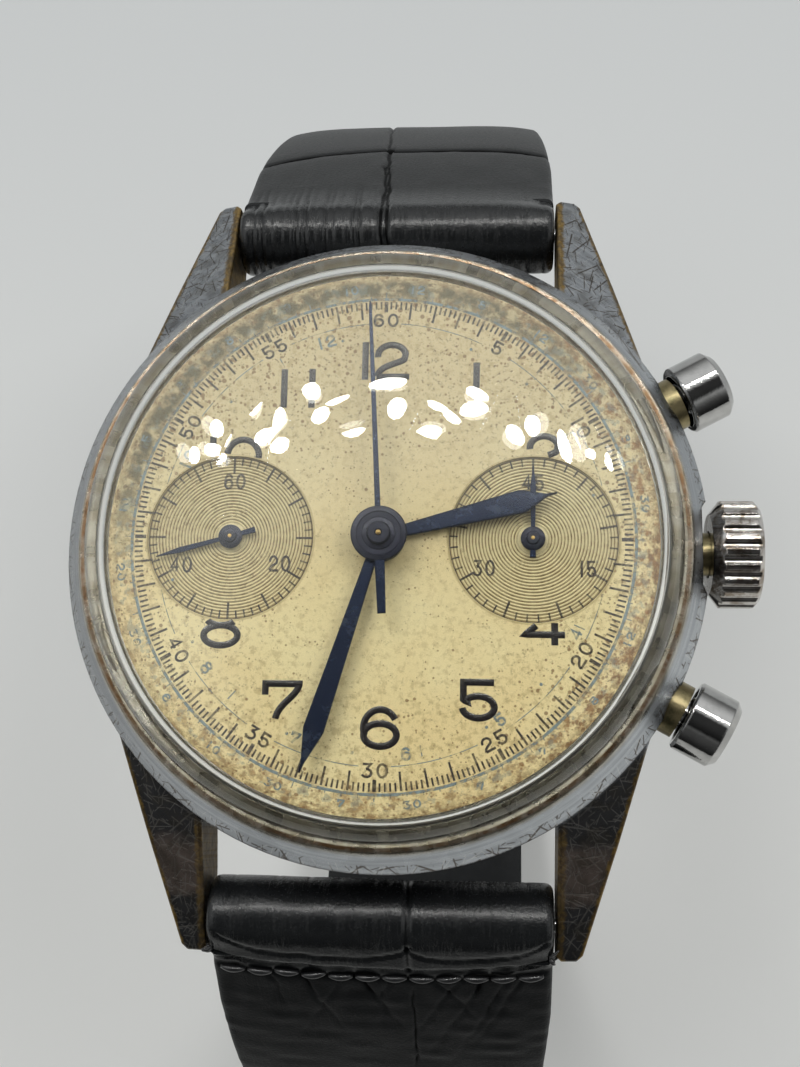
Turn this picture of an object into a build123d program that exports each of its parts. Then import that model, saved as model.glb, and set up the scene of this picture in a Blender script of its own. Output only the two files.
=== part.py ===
from build123d import *
from math import sin, cos, tan, radians, degrees, pi, sqrt, atan2
import os

os.makedirs("parts", exist_ok=True)

# ---------------------------------------------------------------- dimensions
# Millimetres.  Origin: centre of the flat outer face of the case back.
# +Z towards the dial, +Y towards 12 o'clock, +X towards the crown.

R_CASE = 17.0          # widest radius of the case middle
Z_EDGE = 6.2           # height of the widest edge
Z_LIP = 7.95           # top of the case middle, beside the crystal
R_CRYSTAL = 15.75      # crystal radius at its base
R_BORE = 14.0          # movement bore of the case middle
Z_BACK = 0.8           # inside face of the case back

LUG_HALF_GAP = 9.2     # inner faces of the lugs
LUG_TIP_Y = 21.2       # end of the lugs
BAR_Y = 19.4           # spring bar axis
BAR_Z = 1.9
R_BAR = 0.9            # spring bar body
R_BAR_PIN = 0.4        # spring bar ends
R_ROLL = 2.1           # strap roll round the spring bar
STRAP_W = 18.0         # strap width between the lugs
STRAP_W_END = 16.0     # strap width at the buckle
T_STRAP = 2.0          # strap thickness away from the lugs
T_STRAP_LUG = 3.2      # padded thickness beside the lugs

Z_STEM = 4.5           # crown, stem and pusher height
R_CROWN = 2.85
CROWN_X0, CROWN_X1 = 17.15, 19.75
PUSH_ANGLE = 28.2      # pushers, degrees from the crown axis
CAP_R0, CAP_R1 = 17.95, 20.35
R_CAP = 1.9

R_DIAL = 14.35
Z_DIAL0, Z_DIAL1 = 7.4, 7.8
XS = 7.8               # sub-dial centres, left and right of the middle
R_SUB = 4.35

R_PLATE = 13.6
Z_PLATE0, Z_PLATE1 = 5.6, 6.9
Z_BR0, Z_BR1 = 2.2, 2.8        # bridges
L0 = (0.95, 1.20)              # chronograph bridge
L1 = (1.28, 1.48)              # levers, hammer and heart cams
L2 = (1.55, 1.70)              # counter wheel
L3 = (1.76, 1.90)              # intermediate wheel
L4 = (1.96, 2.10)              # coupling wheels

ANG_HOUR, ANG_MIN, ANG_CHRONO, ANG_SMALL, ANG_COUNT = 75.5, 197.0, -3.5, 254.0, 0.0

NODES = []


def save(builder, name):
    builder.part.label = name
    export_step(builder.part, f"parts/{name}.step")
    NODES.append(name)


def meet(p, rp, q, rq, side):
    """Point at distance rp from p and rq from q, on one side of the line."""
    dx, dy = q[0] - p[0], q[1] - p[1]
    d = sqrt(dx * dx + dy * dy)
    a = (rp * rp - rq * rq + d * d) / (2 * d)
    h = sqrt(rp * rp - a * a) * side
    return (p[0] + (dx * a - dy * h) / d, p[1] + (dy * a + dx * h) / d)


def gear(teeth, module, c=(0, 0), phase=0.0, slim=0.44):
    """Points of a spur gear with straight-sided teeth, one tooth centred at phase."""
    r = teeth * module / 2
    step = 2 * pi / teeth
    ro, ri = r + 0.85 * module, r - 1.15 * module
    pts = []
    for i in range(teeth):
        a = radians(phase) + i * step
        for rr, w in ((ri, 0.36), (r, slim / 2), (ro, 0.10)):
            pts.append((rr, a - step * w))
        for rr, w in ((ro, 0.10), (r, slim / 2), (ri, 0.36)):
            pts.append((rr, a + step * w))
    return [(c[0] + rr * cos(a), c[1] + rr * sin(a)) for rr, a in pts]


def bearing(p, q):
    return degrees(atan2(q[1] - p[1], q[0] - p[0]))


def mesh_phase(p, teeth_p, phase_p, q, teeth_q):
    """Phase for gear q so that its gap meets gear p's nearest tooth."""
    b = bearing(p, q)
    step_p = 360.0 / teeth_p
    off = ((b - phase_p + step_p / 2) % step_p) - step_p / 2   # past the tooth centre
    # the tooth centre of p lies off degrees before the line of centres
    shift = off * teeth_p / teeth_q
    return b + 180.0 + 180.0 / teeth_q + shift


def spiral(r0, r1, turns, w, c=(0, 0), per=24):
    n = int(turns * per)
    outer, inner = [], []
    for i in range(n + 1):
        a = 2 * pi * turns * i / n
        r = r0 + (r1 - r0) * i / n
        outer.append((c[0] + (r + w / 2) * cos(a), c[1] + (r + w / 2) * sin(a)))
        inner.append((c[0] + (r - w / 2) * cos(a), c[1] + (r - w / 2) * sin(a)))
    return outer + inner[::-1]


def turned(points, clock, c=(0, 0)):
    """Points drawn pointing to +Y, turned clockwise by clock degrees about c."""
    a = radians(-clock)
    return [(c[0] + x * cos(a) - y * sin(a), c[1] + x * sin(a) + y * cos(a)) for x, y in points]


# gear train layout
CENTRE = (0.0, 0.0)
FOURTH = (-XS, 0.0)
COUNT = (XS, 0.0)
THIRD = meet(CENTRE, 4.95, FOURTH, 3.825, 1)
ESCAPE = (FOURTH[0] + 3.465 * cos(radians(-110)), FOURTH[1] + 3.465 * sin(radians(-110)))
BALANCE = (-3.6, -8.4)
_d = sqrt((BALANCE[0] - ESCAPE[0]) ** 2 + (BALANCE[1] - ESCAPE[1]) ** 2)
PALLET = (ESCAPE[0] + 3.05 * (BALANCE[0] - ESCAPE[0]) / _d, ESCAPE[1] + 3.05 * (BALANCE[1] - ESCAPE[1]) / _d)
BARREL = (6.3 * cos(radians(50)), 6.3 * sin(radians(50)))
PINION_X = 12.2
CROWNW = meet((PINION_X, 0), 2.5, BARREL, 7.1, -1)
INTER = meet(CENTRE, 2.72, COUNT, 5.32, 1)
MINUTEW = (0.0, -2.4)
COLUMN = (1.2, 11.2)
LEVER_S = (8.2, 9.4)
LEVER_R = (8.2, -9.4)
COUPLE_P = (-8.2, 6.6)     # coupling lever pivot
print("third", THIRD, "escape", ESCAPE, "pallet", PALLET, "barrel", BARREL, "crown wheel", CROWNW, "intermediate", INTER)

# ---------------------------------------------------------------- case
# one lug, cut from its plan and its side view, with a flat top facet that
# falls both towards the tip and towards the outside
with BuildPart() as lug:
    with BuildSketch(Plane.XY):
        with BuildLine():
            Polyline((LUG_HALF_GAP, 10.2), (LUG_HALF_GAP, 20.95), (LUG_HALF_GAP + 0.25, LUG_TIP_Y),
                     (10.25, LUG_TIP_Y), (10.6, 20.9), (12.35, 15.2), (14.02, 9.35), (12.6, 8.9), close=True)
        make_face()
    extrude(amount=7.0)
    with BuildSketch(Plane.YZ):
        with BuildLine():
            l1 = Polyline((7.0, 1.2), (7.0, 7.0), (LUG_TIP_Y + 0.1, 7.0), (LUG_TIP_Y + 0.1, 1.1))
            l2 = Spline((LUG_TIP_Y + 0.1, 1.1), (20.5, 0.25), (17.5, 0.35), (14.0, 1.15), tangents=((-0.2, -1), (-1, 0.25)))
            Line(l2 @ 1, (7.0, 1.2))
        make_face()
    extrude(amount=20, both=True, mode=Mode.INTERSECT)
    split(bisect_by=Plane(origin=(LUG_HALF_GAP, 14.8, 5.4), z_dir=(0.35, 0.406, 1)), keep=Keep.BOTTOM)
    fillet(lug.edges().filter_by_position(Axis.Y, 15.5, 30), 0.16)

with BuildPart() as case_middle:
    with BuildSketch(Plane.XZ):
        with BuildLine():
            Polyline((14.5, Z_BACK), (15.95, Z_BACK), (16.45, 1.9), (16.75, 4.2), (16.85, Z_EDGE - 0.25),
                     (R_CASE, Z_EDGE - 0.12), (R_CASE, Z_EDGE + 0.12), (16.1, 7.62), (16.0, 7.80), (15.95, Z_LIP),
                     (15.35, Z_LIP), (15.32, 7.1), (14.42, 7.1), (14.42, 6.95), (R_BORE, 6.95), (R_BORE, 2.0),
                     (14.5, 2.0), close=True)
        make_face()
    revolve(axis=Axis.Z)
    # holes for the crown tube and the pusher tubes
    with BuildSketch(Plane.YZ.offset(13.5)):
        with Locations((0, Z_STEM)):
            Circle(1.15)
    extrude(amount=4, mode=Mode.SUBTRACT)
    for sgn in (1, -1):
        a = radians(PUSH_ANGLE * sgn)
        with BuildSketch(Plane(origin=(13.5 * cos(a), 13.5 * sin(a), Z_STEM), z_dir=(cos(a), sin(a), 0))):
            Circle(1.45)
        extrude(amount=4.5, mode=Mode.SUBTRACT)
        with BuildSketch(Plane(origin=(16.78 * cos(a), 16.78 * sin(a), Z_STEM), z_dir=(cos(a), sin(a), 0))):
            Circle(2.07)
        extrude(amount=3, mode=Mode.SUBTRACT)
    # relief for the crown
    with BuildSketch(Plane.YZ.offset(16.55)):
        with Locations((0, Z_STEM)):
            Circle(3.05)
    extrude(amount=4, mode=Mode.SUBTRACT)
    for sx, sy in ((1, 1), (-1, 1), (-1, -1), (1, -1)):
        one = lug.part
        if sx < 0:
            one = one.mirror(Plane.YZ)
        if sy < 0:
            one = one.mirror(Plane.XZ)
        add(one)
    # clear the movement bore where the lugs were added
    with BuildSketch(Plane.XY.offset(Z_BACK)):
        Circle(14.42)
    extrude(amount=1.2, mode=Mode.SUBTRACT)
    with BuildSketch(Plane.XY):
        Circle(R_BORE)
    extrude(amount=9, mode=Mode.SUBTRACT)
    with BuildSketch(Plane.XY.offset(6.95)):
        Circle(14.42)
    extrude(amount=0.4, mode=Mode.SUBTRACT)
    # blind holes for the spring bar ends
    for sx in (1, -1):
        for sy in (1, -1):
            with BuildSketch(Plane(origin=(sx * (LUG_HALF_GAP - 0.2), sy * BAR_Y, BAR_Z), z_dir=(sx, 0, 0))):
                Circle(R_BAR_PIN + 0.05)
            extrude(amount=0.95, mode=Mode.SUBTRACT)
save(case_middle, "case_middle")

with BuildPart() as case_back:
    with BuildSketch(Plane.XZ):
        with BuildLine():
            Polyline((0, 0), (12.6, 0), (12.9, 0.12), (14.9, 0.3), (15.7, 0.55), (15.85, Z_BACK), (15.3, Z_BACK),
                     (15.3, 0.6), (14.6, 0.6), (14.6, Z_BACK), (14.42, Z_BACK), (14.42, 1.85), (14.3, 1.95),
                     (13.95, 1.95), (13.95, Z_BACK), (0, Z_BACK), close=True)
        make_face()
    revolve(axis=Axis.Z)
    # opening notch at the rim
    with BuildSketch(Plane.XY.offset(0.35)):
        with Locations((0, -15.9)):
            Rectangle(2.6, 0.8)
    extrude(amount=0.5, mode=Mode.SUBTRACT)
save(case_back, "case_back")

with BuildPart() as case_back_gasket:
    with BuildSketch(Plane.XY.offset(0.61)):
        Circle(15.25)
        Circle(14.65, mode=Mode.SUBTRACT)
    extrude(amount=0.18)
save(case_back_gasket, "case_back_gasket")

# domed acrylic crystal: straight skirt in the case, upright wall, rounded
# shoulder and a low dome on top
with BuildPart() as crystal:
    with BuildSketch(Plane.XZ):
        with BuildLine():
            o1 = Polyline((0, 11.62), (0, 10.55))
            i1 = Spline((0, 10.55), (7.5, 10.28), (13.2, 9.45), tangents=((1, 0), (1, -0.35)))
            i2 = Spline(i1 @ 1, (14.25, 8.85), (14.5, 8.2), tangents=((1, -0.35), (0, -1)))
            Polyline(i2 @ 1, (14.5, 7.12), (15.3, 7.12), (15.3, 7.97), (R_CRYSTAL, 7.97), (R_CRYSTAL, 8.65))
            s1 = Spline((R_CRYSTAL, 8.65), (15.35, 9.45), (14.2, 10.05), tangents=((0, 1), (-1, 0.28)))
            s2 = Spline(s1 @ 1, (8.0, 11.25), (0, 11.62), tangents=((-1, 0.28), (-1, 0)))
        make_face()
    revolve(axis=Axis.Z)
save(crystal, "crystal")

# crown and pusher tubes
with BuildPart() as case_tubes:
    with BuildSketch(Plane.YZ.offset(14.15)):
        with Locations((0, Z_STEM)):
            Circle(1.15)
            Circle(0.66, mode=Mode.SUBTRACT)
    extrude(amount=17.95 - 14.15)
    for sgn in (1, -1):
        a = radians(PUSH_ANGLE * sgn)
        pl = Plane(origin=(14.15 * cos(a), 14.15 * sin(a), Z_STEM), z_dir=(cos(a), sin(a), 0))
        with BuildSketch(pl):
            Circle(1.45)
            Circle(0.76, mode=Mode.SUBTRACT)
        extrude(amount=17.75 - 14.15)
        pk = Plane(origin=(15.6 * cos(a), 15.6 * sin(a), Z_STEM), z_dir=(cos(a), sin(a), 0))
        with BuildSketch(pk):
            Circle(1.12)
        extrude(amount=3.0, mode=Mode.SUBTRACT)
save(case_tubes, "case_tubes")

# fluted crown
with BuildPart() as crown:
    with BuildSketch(Plane.XY.offset(Z_STEM)):
        with BuildLine():
            Polyline((CROWN_X0, 1.28), (CROWN_X0, 2.15), (CROWN_X0 + 0.55, R_CROWN), (CROWN_X1 - 0.35, R_CROWN),
                     (CROWN_X1 - 0.08, R_CROWN - 0.3), (CROWN_X1, 2.1), (CROWN_X1, 0), (18.55, 0), (18.55, 1.28), close=True)
        make_face()
    revolve(axis=Axis((0, 0, Z_STEM), (1, 0, 0)))
    with BuildSketch(Plane(origin=(CROWN_X0 - 0.5, 0, Z_STEM), z_dir=(1, 0, 0))):
        with PolarLocations(R_CROWN + 0.13, 22):
            Circle(0.29)
    extrude(amount=4, mode=Mode.SUBTRACT)
save(crown, "crown")

with BuildPart() as winding_stem:
    with BuildSketch(Plane.YZ.offset(9.2)):
        with Locations((0, Z_STEM)):
            Circle(0.6)
    extrude(amount=18.55 - 9.2)
    with BuildSketch(Plane.YZ.offset(9.8)):
        with Locations((0, Z_STEM)):
            Circle(0.6)
            Rectangle(0.84, 0.84, mode=Mode.SUBTRACT)
    extrude(amount=1.9, mode=Mode.SUBTRACT)
save(winding_stem, "winding_stem")

# pushers: a hollow cap with a rod that reaches the levers
for name, sgn in (("pusher_start", 1), ("pusher_reset", -1)):
    a = radians(PUSH_ANGLE * sgn)

    def at(r):
        return Plane(origin=(r * cos(a), r * sin(a), Z_STEM), z_dir=(cos(a), sin(a), 0))
    with BuildPart() as pusher:
        with BuildSketch(at(CAP_R0)):
            Circle(R_CAP)
        extrude(amount=CAP_R1 - CAP_R0)
        chamfer(pusher.faces().sort_by(Axis((0, 0, 0), (cos(a), sin(a), 0)))[-1].edges(), 0.35)
        chamfer(pusher.faces().sort_by(Axis((0, 0, 0), (cos(a), sin(a), 0)))[0].edges(), 0.12)
        with BuildSketch(at(CAP_R0)):
            Circle(1.52)
        extrude(amount=1.35, mode=Mode.SUBTRACT)
        with BuildSketch(at(12.75)):
            Circle(0.7)
        extrude(amount=CAP_R0 + 1.5 - 12.75)
    save(pusher, name)

for name, sgn in (("pusher_spring_start", 1), ("pusher_spring_reset", -1)):
    a = radians(PUSH_ANGLE * sgn)
    r0, r1 = 15.62, 19.28
    with BuildPart() as pspring:
        with BuildLine():
            hx = Helix(pitch=0.57, height=r1 - r0 - 0.24, radius=0.92, center=((r0 + 0.12) * cos(a), (r0 + 0.12) * sin(a), Z_STEM), direction=(cos(a), sin(a), 0))
        with BuildSketch(Plane(origin=hx @ 0, z_dir=hx % 0)):
            Circle(0.1)
        sweep(path=hx, is_frenet=True)
    save(pspring, name)

# ---------------------------------------------------------------- dial and hands
with BuildPart() as dial:
    with BuildSketch(Plane.XY.offset(Z_DIAL0)):
        Circle(R_DIAL)
    extrude(amount=Z_DIAL1 - Z_DIAL0)
    with BuildSketch(Plane.XY.offset(Z_DIAL1 - 0.14)):
        with Locations((-XS, 0), (XS, 0)):
            Circle(R_SUB)
    extrude(amount=1, mode=Mode.SUBTRACT)
    with BuildSketch(Plane.XY.offset(Z_DIAL0 - 1)):
        Circle(0.95)
        with Locations((-XS, 0), (XS, 0)):
            Circle(0.32)
    extrude(amount=2, mode=Mode.SUBTRACT)
    # two feet that stand in the main plate
    with BuildSketch(Plane.XY.offset(6.2)):
        with Locations((-7.6, 9.6), (7.6, -9.6)):
            Circle(0.35)
    extrude(amount=Z_DIAL0 - 6.2)
save(dial, "dial")


def hand_points(length, w0, w1, shoulder, tail=0.0, tail_w=0.0):
    """Outline of a stick hand: narrow at the boss, widening to a shoulder, pointed tip."""
    right = [(w0 / 2, 0.0), (w1 / 2, shoulder), (0.0, length)]
    left = [(-w1 / 2, shoulder), (-w0 / 2, 0.0)]
    if tail > 0:
        return [(tail_w / 2, -tail)] + right + left + [(-tail_w / 2, -tail)]
    return right + left


with BuildPart() as hour_hand:
    with BuildSketch(Plane.XY.offset(8.12)):
        Polygon(*turned(hand_points(9.1, 0.62, 1.05, 7.6), ANG_HOUR), align=None)
        Circle(1.3)
        Circle(0.76, mode=Mode.SUBTRACT)
    extrude(amount=0.16)
save(hour_hand, "hour_hand")

with BuildPart() as minute_hand:
    with BuildSketch(Plane.XY.offset(8.46)):
        Polygon(*turned(hand_points(12.35, 0.6, 0.95, 10.7), ANG_MIN), align=None)
        Circle(1.2)
        Circle(0.55, mode=Mode.SUBTRACT)
    extrude(amount=0.16)
save(minute_hand, "minute_hand")

with BuildPart() as chrono_seconds_hand:
    with BuildSketch(Plane.XY.offset(8.84)):
        Polygon(*turned(hand_points(12.2, 0.30, 0.24, 8.0, 4.05, 0.62), ANG_CHRONO), align=None)
        Circle(1.4)
    extrude(amount=0.14)
    with BuildSketch(Plane.XY.offset(8.98)):
        Circle(0.6)
    extrude(amount=0.26)
    with BuildSketch(Plane.XY.offset(8.7)):
        Circle(0.15)
    extrude(amount=0.45, mode=Mode.SUBTRACT)
save(chrono_seconds_hand, "chrono_seconds_hand")

for name, c, ang, tail in (("small_seconds_hand", FOURTH, ANG_SMALL, 1.3), ("minute_counter_hand", COUNT, ANG_COUNT, 1.2)):
    with BuildPart() as small:
        with BuildSketch(Plane.XY.offset(7.88)):
            Polygon(*turned(hand_points(4.0, 0.24, 0.30, 2.9, tail, 0.3), ang, c), align=None)
            with Locations(c):
                Circle(0.62)
        extrude(amount=0.10)
        with BuildSketch(Plane.XY.offset(7.75)):
            with Locations(c):
                Circle(0.26)
        extrude(amount=0.35)
        with BuildSketch(Plane.XY.offset(7.6)):
            with Locations(c):
                Circle(0.15)
        extrude(amount=0.4, mode=Mode.SUBTRACT)
    save(small, name)

# ---------------------------------------------------------------- motion work
with BuildPart() as cannon_pinion:
    with BuildSketch(Plane.XY.offset(6.97)):
        Polygon(*gear(12, 0.1, CENTRE, -90), align=None)
    extrude(amount=0.2)
    with BuildSketch(Plane.XY.offset(6.97)):
        Circle(0.55)
    extrude(amount=8.66 - 6.97)
    with BuildSketch(Plane.XY.offset(6.9)):
        Circle(0.36)
    extrude(amount=2, mode=Mode.SUBTRACT)
save(cannon_pinion, "cannon_pinion")

with BuildPart() as minute_wheel:
    with BuildSketch(Plane.XY.offset(6.97)):
        Polygon(*gear(36, 0.1, MINUTEW, mesh_phase(CENTRE, 12, -90, MINUTEW, 36)), align=None)
    extrude(amount=0.15)
    with BuildSketch(Plane.XY.offset(7.12)):
        Polygon(*gear(10, 0.096, MINUTEW, 90), align=None)
    extrude(amount=0.22)
    with BuildSketch(Plane.XY.offset(6.9)):
        with Locations(MINUTEW):
            Circle(0.25)
    extrude(amount=1, mode=Mode.SUBTRACT)
save(minute_wheel, "minute_wheel")

with BuildPart() as hour_wheel:
    with BuildSketch(Plane.XY.offset(7.2)):
        Polygon(*gear(40, 0.096, CENTRE, mesh_phase(MINUTEW, 10, 90, CENTRE, 40)), align=None)
    extrude(amount=0.14)
    with BuildSketch(Plane.XY.offset(7.2)):
        Circle(0.76)
    extrude(amount=8.34 - 7.2)
    with BuildSketch(Plane.XY.offset(7.0)):
        Circle(0.6)
    extrude(amount=2, mode=Mode.SUBTRACT)
save(hour_wheel, "hour_wheel")

# ---------------------------------------------------------------- movement frame
with BuildPart() as main_plate:
    with BuildSketch(Plane.XY.offset(Z_PLATE0)):
        Circle(R_PLATE)
    extrude(amount=Z_PLATE1 - Z_PLATE0)
    # flange that rests on the case ledge
    with BuildSketch(Plane.XY.offset(6.97)):
        Circle(14.3)
        Circle(13.2, mode=Mode.SUBTRACT)
    extrude(amount=0.2)
    with BuildSketch(Plane.XY.offset(6.8)):
        Circle(R_PLATE)
        Circle(13.2, mode=Mode.SUBTRACT)
    extrude(amount=0.3)
    # holes for jewels and arbors
    with BuildSketch(Plane.XY.offset(5)):
        with Locations(CENTRE):
            Circle(0.5)
        with Locations(FOURTH, COUNT, THIRD, ESCAPE, BALANCE, PALLET):
            Circle(0.5)
        with Locations(BARREL):
            Circle(0.85)
        with Locations((-7.6, 9.6), (7.6, -9.6)):
            Circle(0.4)
    extrude(amount=2.5, mode=Mode.SUBTRACT)
    # slot for the stem, pinions and pushers
    with BuildSketch(Plane.XY.offset(4.4)):
        with Locations((11.6, 0)):
            Rectangle(6.0, 3.2)
    extrude(amount=6.0 - 4.4, mode=Mode.SUBTRACT)
    # stud of the minute wheel and pillars that carry the bridges
    with BuildSketch(Plane.XY.offset(6.5)):
        with Locations(MINUTEW):
            Circle(0.2)
    extrude(amount=7.36 - 6.5)
    with BuildSketch(Plane.XY.offset(Z_BR1)):
        with Locations((-1.5, 12.4), (-12.3, 2.6), (-12.5, -2.6), (1.6, -12.0), (12.2, -3.2), (9.3, 8.4), (3.0, -4.4)):
            Circle(0.8)
    extrude(amount=Z_PLATE0 + 0.1 - Z_BR1)
save(main_plate, "main_plate")

with BuildPart() as barrel_bridge:
    with BuildSketch(Plane.XY.offset(Z_BR0)):
        with BuildLine():
            Polyline((-1.9, 13.2), (6.5, 11.4), (9.9, 8.9), (10.2, 7.6), (9.3, 7.2), (9.15, 4.35), (10.8, 4.15), (13.1, 3.7), (13.4, 1.3), (10.5, 0.7), (9.0, 1.5),
                     (3.4, 1.6), (1.0, 1.1), (-0.6, 2.4), (-2.4, 9.0), close=True)
        make_face()
        with Locations(BARREL):
            Circle(0.65, mode=Mode.SUBTRACT)
        with Locations(INTER):
            Circle(0.3, mode=Mode.SUBTRACT)
    extrude(amount=Z_BR1 - Z_BR0)
save(barrel_bridge, "barrel_bridge")

with BuildPart() as train_bridge:
    with BuildSketch(Plane.XY.offset(Z_BR0)):
        with BuildLine():
            Polyline((-2.6, 7.8), (-9.0, 6.2), (-13.1, 2.9), (-13.3, -2.8), (-10.8, -4.9), (-8.2, -4.4), (-6.9, -3.2), (-2.6, -3.6), (-1.4, -4.9),
                     (3.2, -5.4), (9.5, -3.0), (12.6, -4.4), (13.1, -2.2), (9.8, -1.1), (8.9, 0.9), (6.8, 1.2), (3.3, 1.3), (1.1, 0.8), (-0.8, 2.1), close=True)
        make_face()
        with Locations(CENTRE, FOURTH, THIRD, ESCAPE, COUNT):
            Circle(0.5, mode=Mode.SUBTRACT)
        with Locations(INTER):
            Circle(0.3, mode=Mode.SUBTRACT)
    extrude(amount=Z_BR1 - Z_BR0)
save(train_bridge, "train_bridge")

with BuildPart() as balance_cock:
    with BuildSketch(Plane.XY.offset(Z_BR0)):
        with BuildLine():
            Polyline((-4.6, -7.4), (-2.6, -7.2), (0.6, -10.2), (3.0, -10.8), (3.2, -12.6), (0.8, -13.2), (-3.0, -9.7), (-4.6, -9.4), close=True)
        make_face()
        with Locations(BALANCE):
            Circle(1.25)
            Circle(0.5, mode=Mode.SUBTRACT)
    extrude(amount=Z_BR1 - Z_BR0)
save(balance_cock, "balance_cock")

with BuildPart() as chrono_bridge:
    with BuildSketch(Plane.XY.offset(L0[0])):
        with BuildLine():
            Polyline((-1.0, -0.9), (1.2, -0.9), (3.2, -0.4), (7.0, -1.0), (8.8, -0.8), (8.8, 0.8), (7.0, 1.0), (3.6, 1.9), (2.6, 4.6), (0.6, 4.6), (0.6, 1.8), (-1.0, 0.9), close=True)
        make_face()
        with Locations(CENTRE, COUNT, INTER):
            Circle(0.17, mode=Mode.SUBTRACT)
    extrude(amount=L0[1] - L0[0])
    # foot on the barrel bridge
    with BuildSketch(Plane.XY.offset(L0[1])):
        with Locations((1.6, 4.0)):
            Circle(0.55)
    extrude(amount=Z_BR0 - L0[1])
save(chrono_bridge, "chrono_bridge")

with BuildPart() as jewels:
    for p in (FOURTH, COUNT, THIRD, ESCAPE, BALANCE, PALLET):
        with BuildSketch(Plane.XY.offset(Z_PLATE0 + 0.2)):
            with Locations(p):
                Circle(0.5)
                Circle(0.28 if p in (FOURTH, COUNT) else 0.17, mode=Mode.SUBTRACT)
        extrude(amount=0.4)
    for p in (THIRD, ESCAPE, BALANCE, FOURTH, COUNT):
        with BuildSketch(Plane.XY.offset(Z_BR0 + 0.1)):
            with Locations(p):
                Circle(0.5)
                Circle(0.28 if p in (FOURTH, COUNT) else 0.17, mode=Mode.SUBTRACT)
        extrude(amount=0.4)
save(jewels, "jewels")

with BuildPart() as bridge_screws:
    for x, y in ((-1.5, 12.4), (9.3, 8.4), (-12.3, 2.6), (-12.5, -2.6), (12.2, -3.2), (1.6, -12.0)):
        with BuildSketch(Plane.XY.offset(Z_BR0 - 0.25)):
            with Locations((x, y)):
                Circle(0.55)
        extrude(amount=0.25)
        with BuildSketch(Plane.XY.offset(Z_BR0 - 0.3)):
            with Locations((x, y)):
                Rectangle(1.2, 0.16)
        extrude(amount=0.17, mode=Mode.SUBTRACT)
save(bridge_screws, "bridge_screws")


def arbor(z0, z1, r, c=(0, 0)):
    """Plain round arbor between two heights, joined to the part being built."""
    with BuildSketch(Plane.XY.offset(z0)) as sk:
        with Locations(c):
            Circle(r)
    extrude(sk.sketch, amount=z1 - z0)


def toothed(z0, z1, teeth, module, c, phase):
    with BuildSketch(Plane.XY.offset(z0)) as sk:
        Polygon(*gear(teeth, module, c, phase), align=None)
    extrude(sk.sketch, amount=z1 - z0)


def crossings(z0, z1, c, r, hole, n=5):
    """Round openings that lighten a wheel."""
    with BuildSketch(Plane.XY.offset(z0 - 0.01)) as sk:
        with Locations(c):
            with PolarLocations(r, n):
                Circle(hole)
    extrude(sk.sketch, amount=z1 - z0 + 0.02, mode=Mode.SUBTRACT)


# ---------------------------------------------------------------- going train
PH_C = bearing(CENTRE, THIRD)                       # centre wheel
PH_CP = bearing(CENTRE, BARREL)                     # centre pinion
PH_BAR = mesh_phase(CENTRE, 12, PH_CP, BARREL, 78)
PH_3P = mesh_phase(CENTRE, 80, PH_C, THIRD, 10)
PH_3 = bearing(THIRD, FOURTH)
PH_4P = mesh_phase(THIRD, 75, PH_3, FOURTH, 10)
PH_4 = bearing(FOURTH, ESCAPE)
PH_EP = mesh_phase(FOURTH, 70, PH_4, ESCAPE, 7)

with BuildPart() as barrel_drum:
    with BuildSketch(Plane.XY.offset(3.2)):
        with Locations(BARREL):
            Circle(5.15)
    extrude(amount=1.1)
    toothed(4.3, 4.7, 78, 0.14, BARREL, PH_BAR)
    with BuildSketch(Plane.XY.offset(3.35)):
        with Locations(BARREL):
            Circle(4.95)
    extrude(amount=1.2, mode=Mode.SUBTRACT)
    with BuildSketch(Plane.XY.offset(3.0)):
        with Locations(BARREL):
            Circle(0.66)
    extrude(amount=2, mode=Mode.SUBTRACT)
save(barrel_drum, "barrel_drum")

with BuildPart() as mainspring:
    with BuildSketch(Plane.XY.offset(3.45)):
        Polygon(*spiral(1.35, 4.75, 9, 0.13, BARREL), align=None)
    extrude(amount=1.0)
save(mainspring, "mainspring")

with BuildPart() as ratchet_wheel:
    arbor(2.25, 6.6, 0.6, BARREL)
    arbor(3.4, 4.5, 1.2, BARREL)
    toothed(2.9, 3.12, 46, 0.2, BARREL, bearing(BARREL, CROWNW))
save(ratchet_wheel, "ratchet_wheel")

with BuildPart() as crown_wheel:
    toothed(2.9, 3.12, 25, 0.2, CROWNW, mesh_phase(BARREL, 46, bearing(BARREL, CROWNW), CROWNW, 25))
    arbor(3.12, 3.3, 0.9, CROWNW)
    with BuildSketch(Plane.XY.offset(2.8)):
        with Locations(CROWNW):
            Circle(0.45)
    extrude(amount=1, mode=Mode.SUBTRACT)
save(crown_wheel, "crown_wheel")

with BuildPart() as crown_wheel_core:
    arbor(2.8, 3.34, 0.41, CROWNW)
    arbor(3.34, 3.5, 0.9, CROWNW)
save(crown_wheel_core, "crown_wheel_core")

with BuildPart() as winding_pinion:
    with BuildSketch(Plane.YZ.offset(PINION_X - 0.5)):
        with BuildLine():
            Polyline(*[(y, Z_STEM + z) for y, z in gear(14, 0.14)], close=True)
        make_face()
        with Locations((0, Z_STEM)):
            Circle(0.64, mode=Mode.SUBTRACT)
    extrude(amount=1.0)
save(winding_pinion, "winding_pinion")

with BuildPart() as sliding_pinion:
    with BuildSketch(Plane.YZ.offset(10.35)):
        with Locations((0, Z_STEM)):
            Circle(0.95)
            Circle(0.64, mode=Mode.SUBTRACT)
    extrude(amount=1.2)
    with BuildSketch(Plane.YZ.offset(10.8)):
        with Locations((0, Z_STEM)):
            Circle(1.0)
            Circle(0.8, mode=Mode.SUBTRACT)
    extrude(amount=0.25, mode=Mode.SUBTRACT)
save(sliding_pinion, "sliding_pinion")

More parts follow.
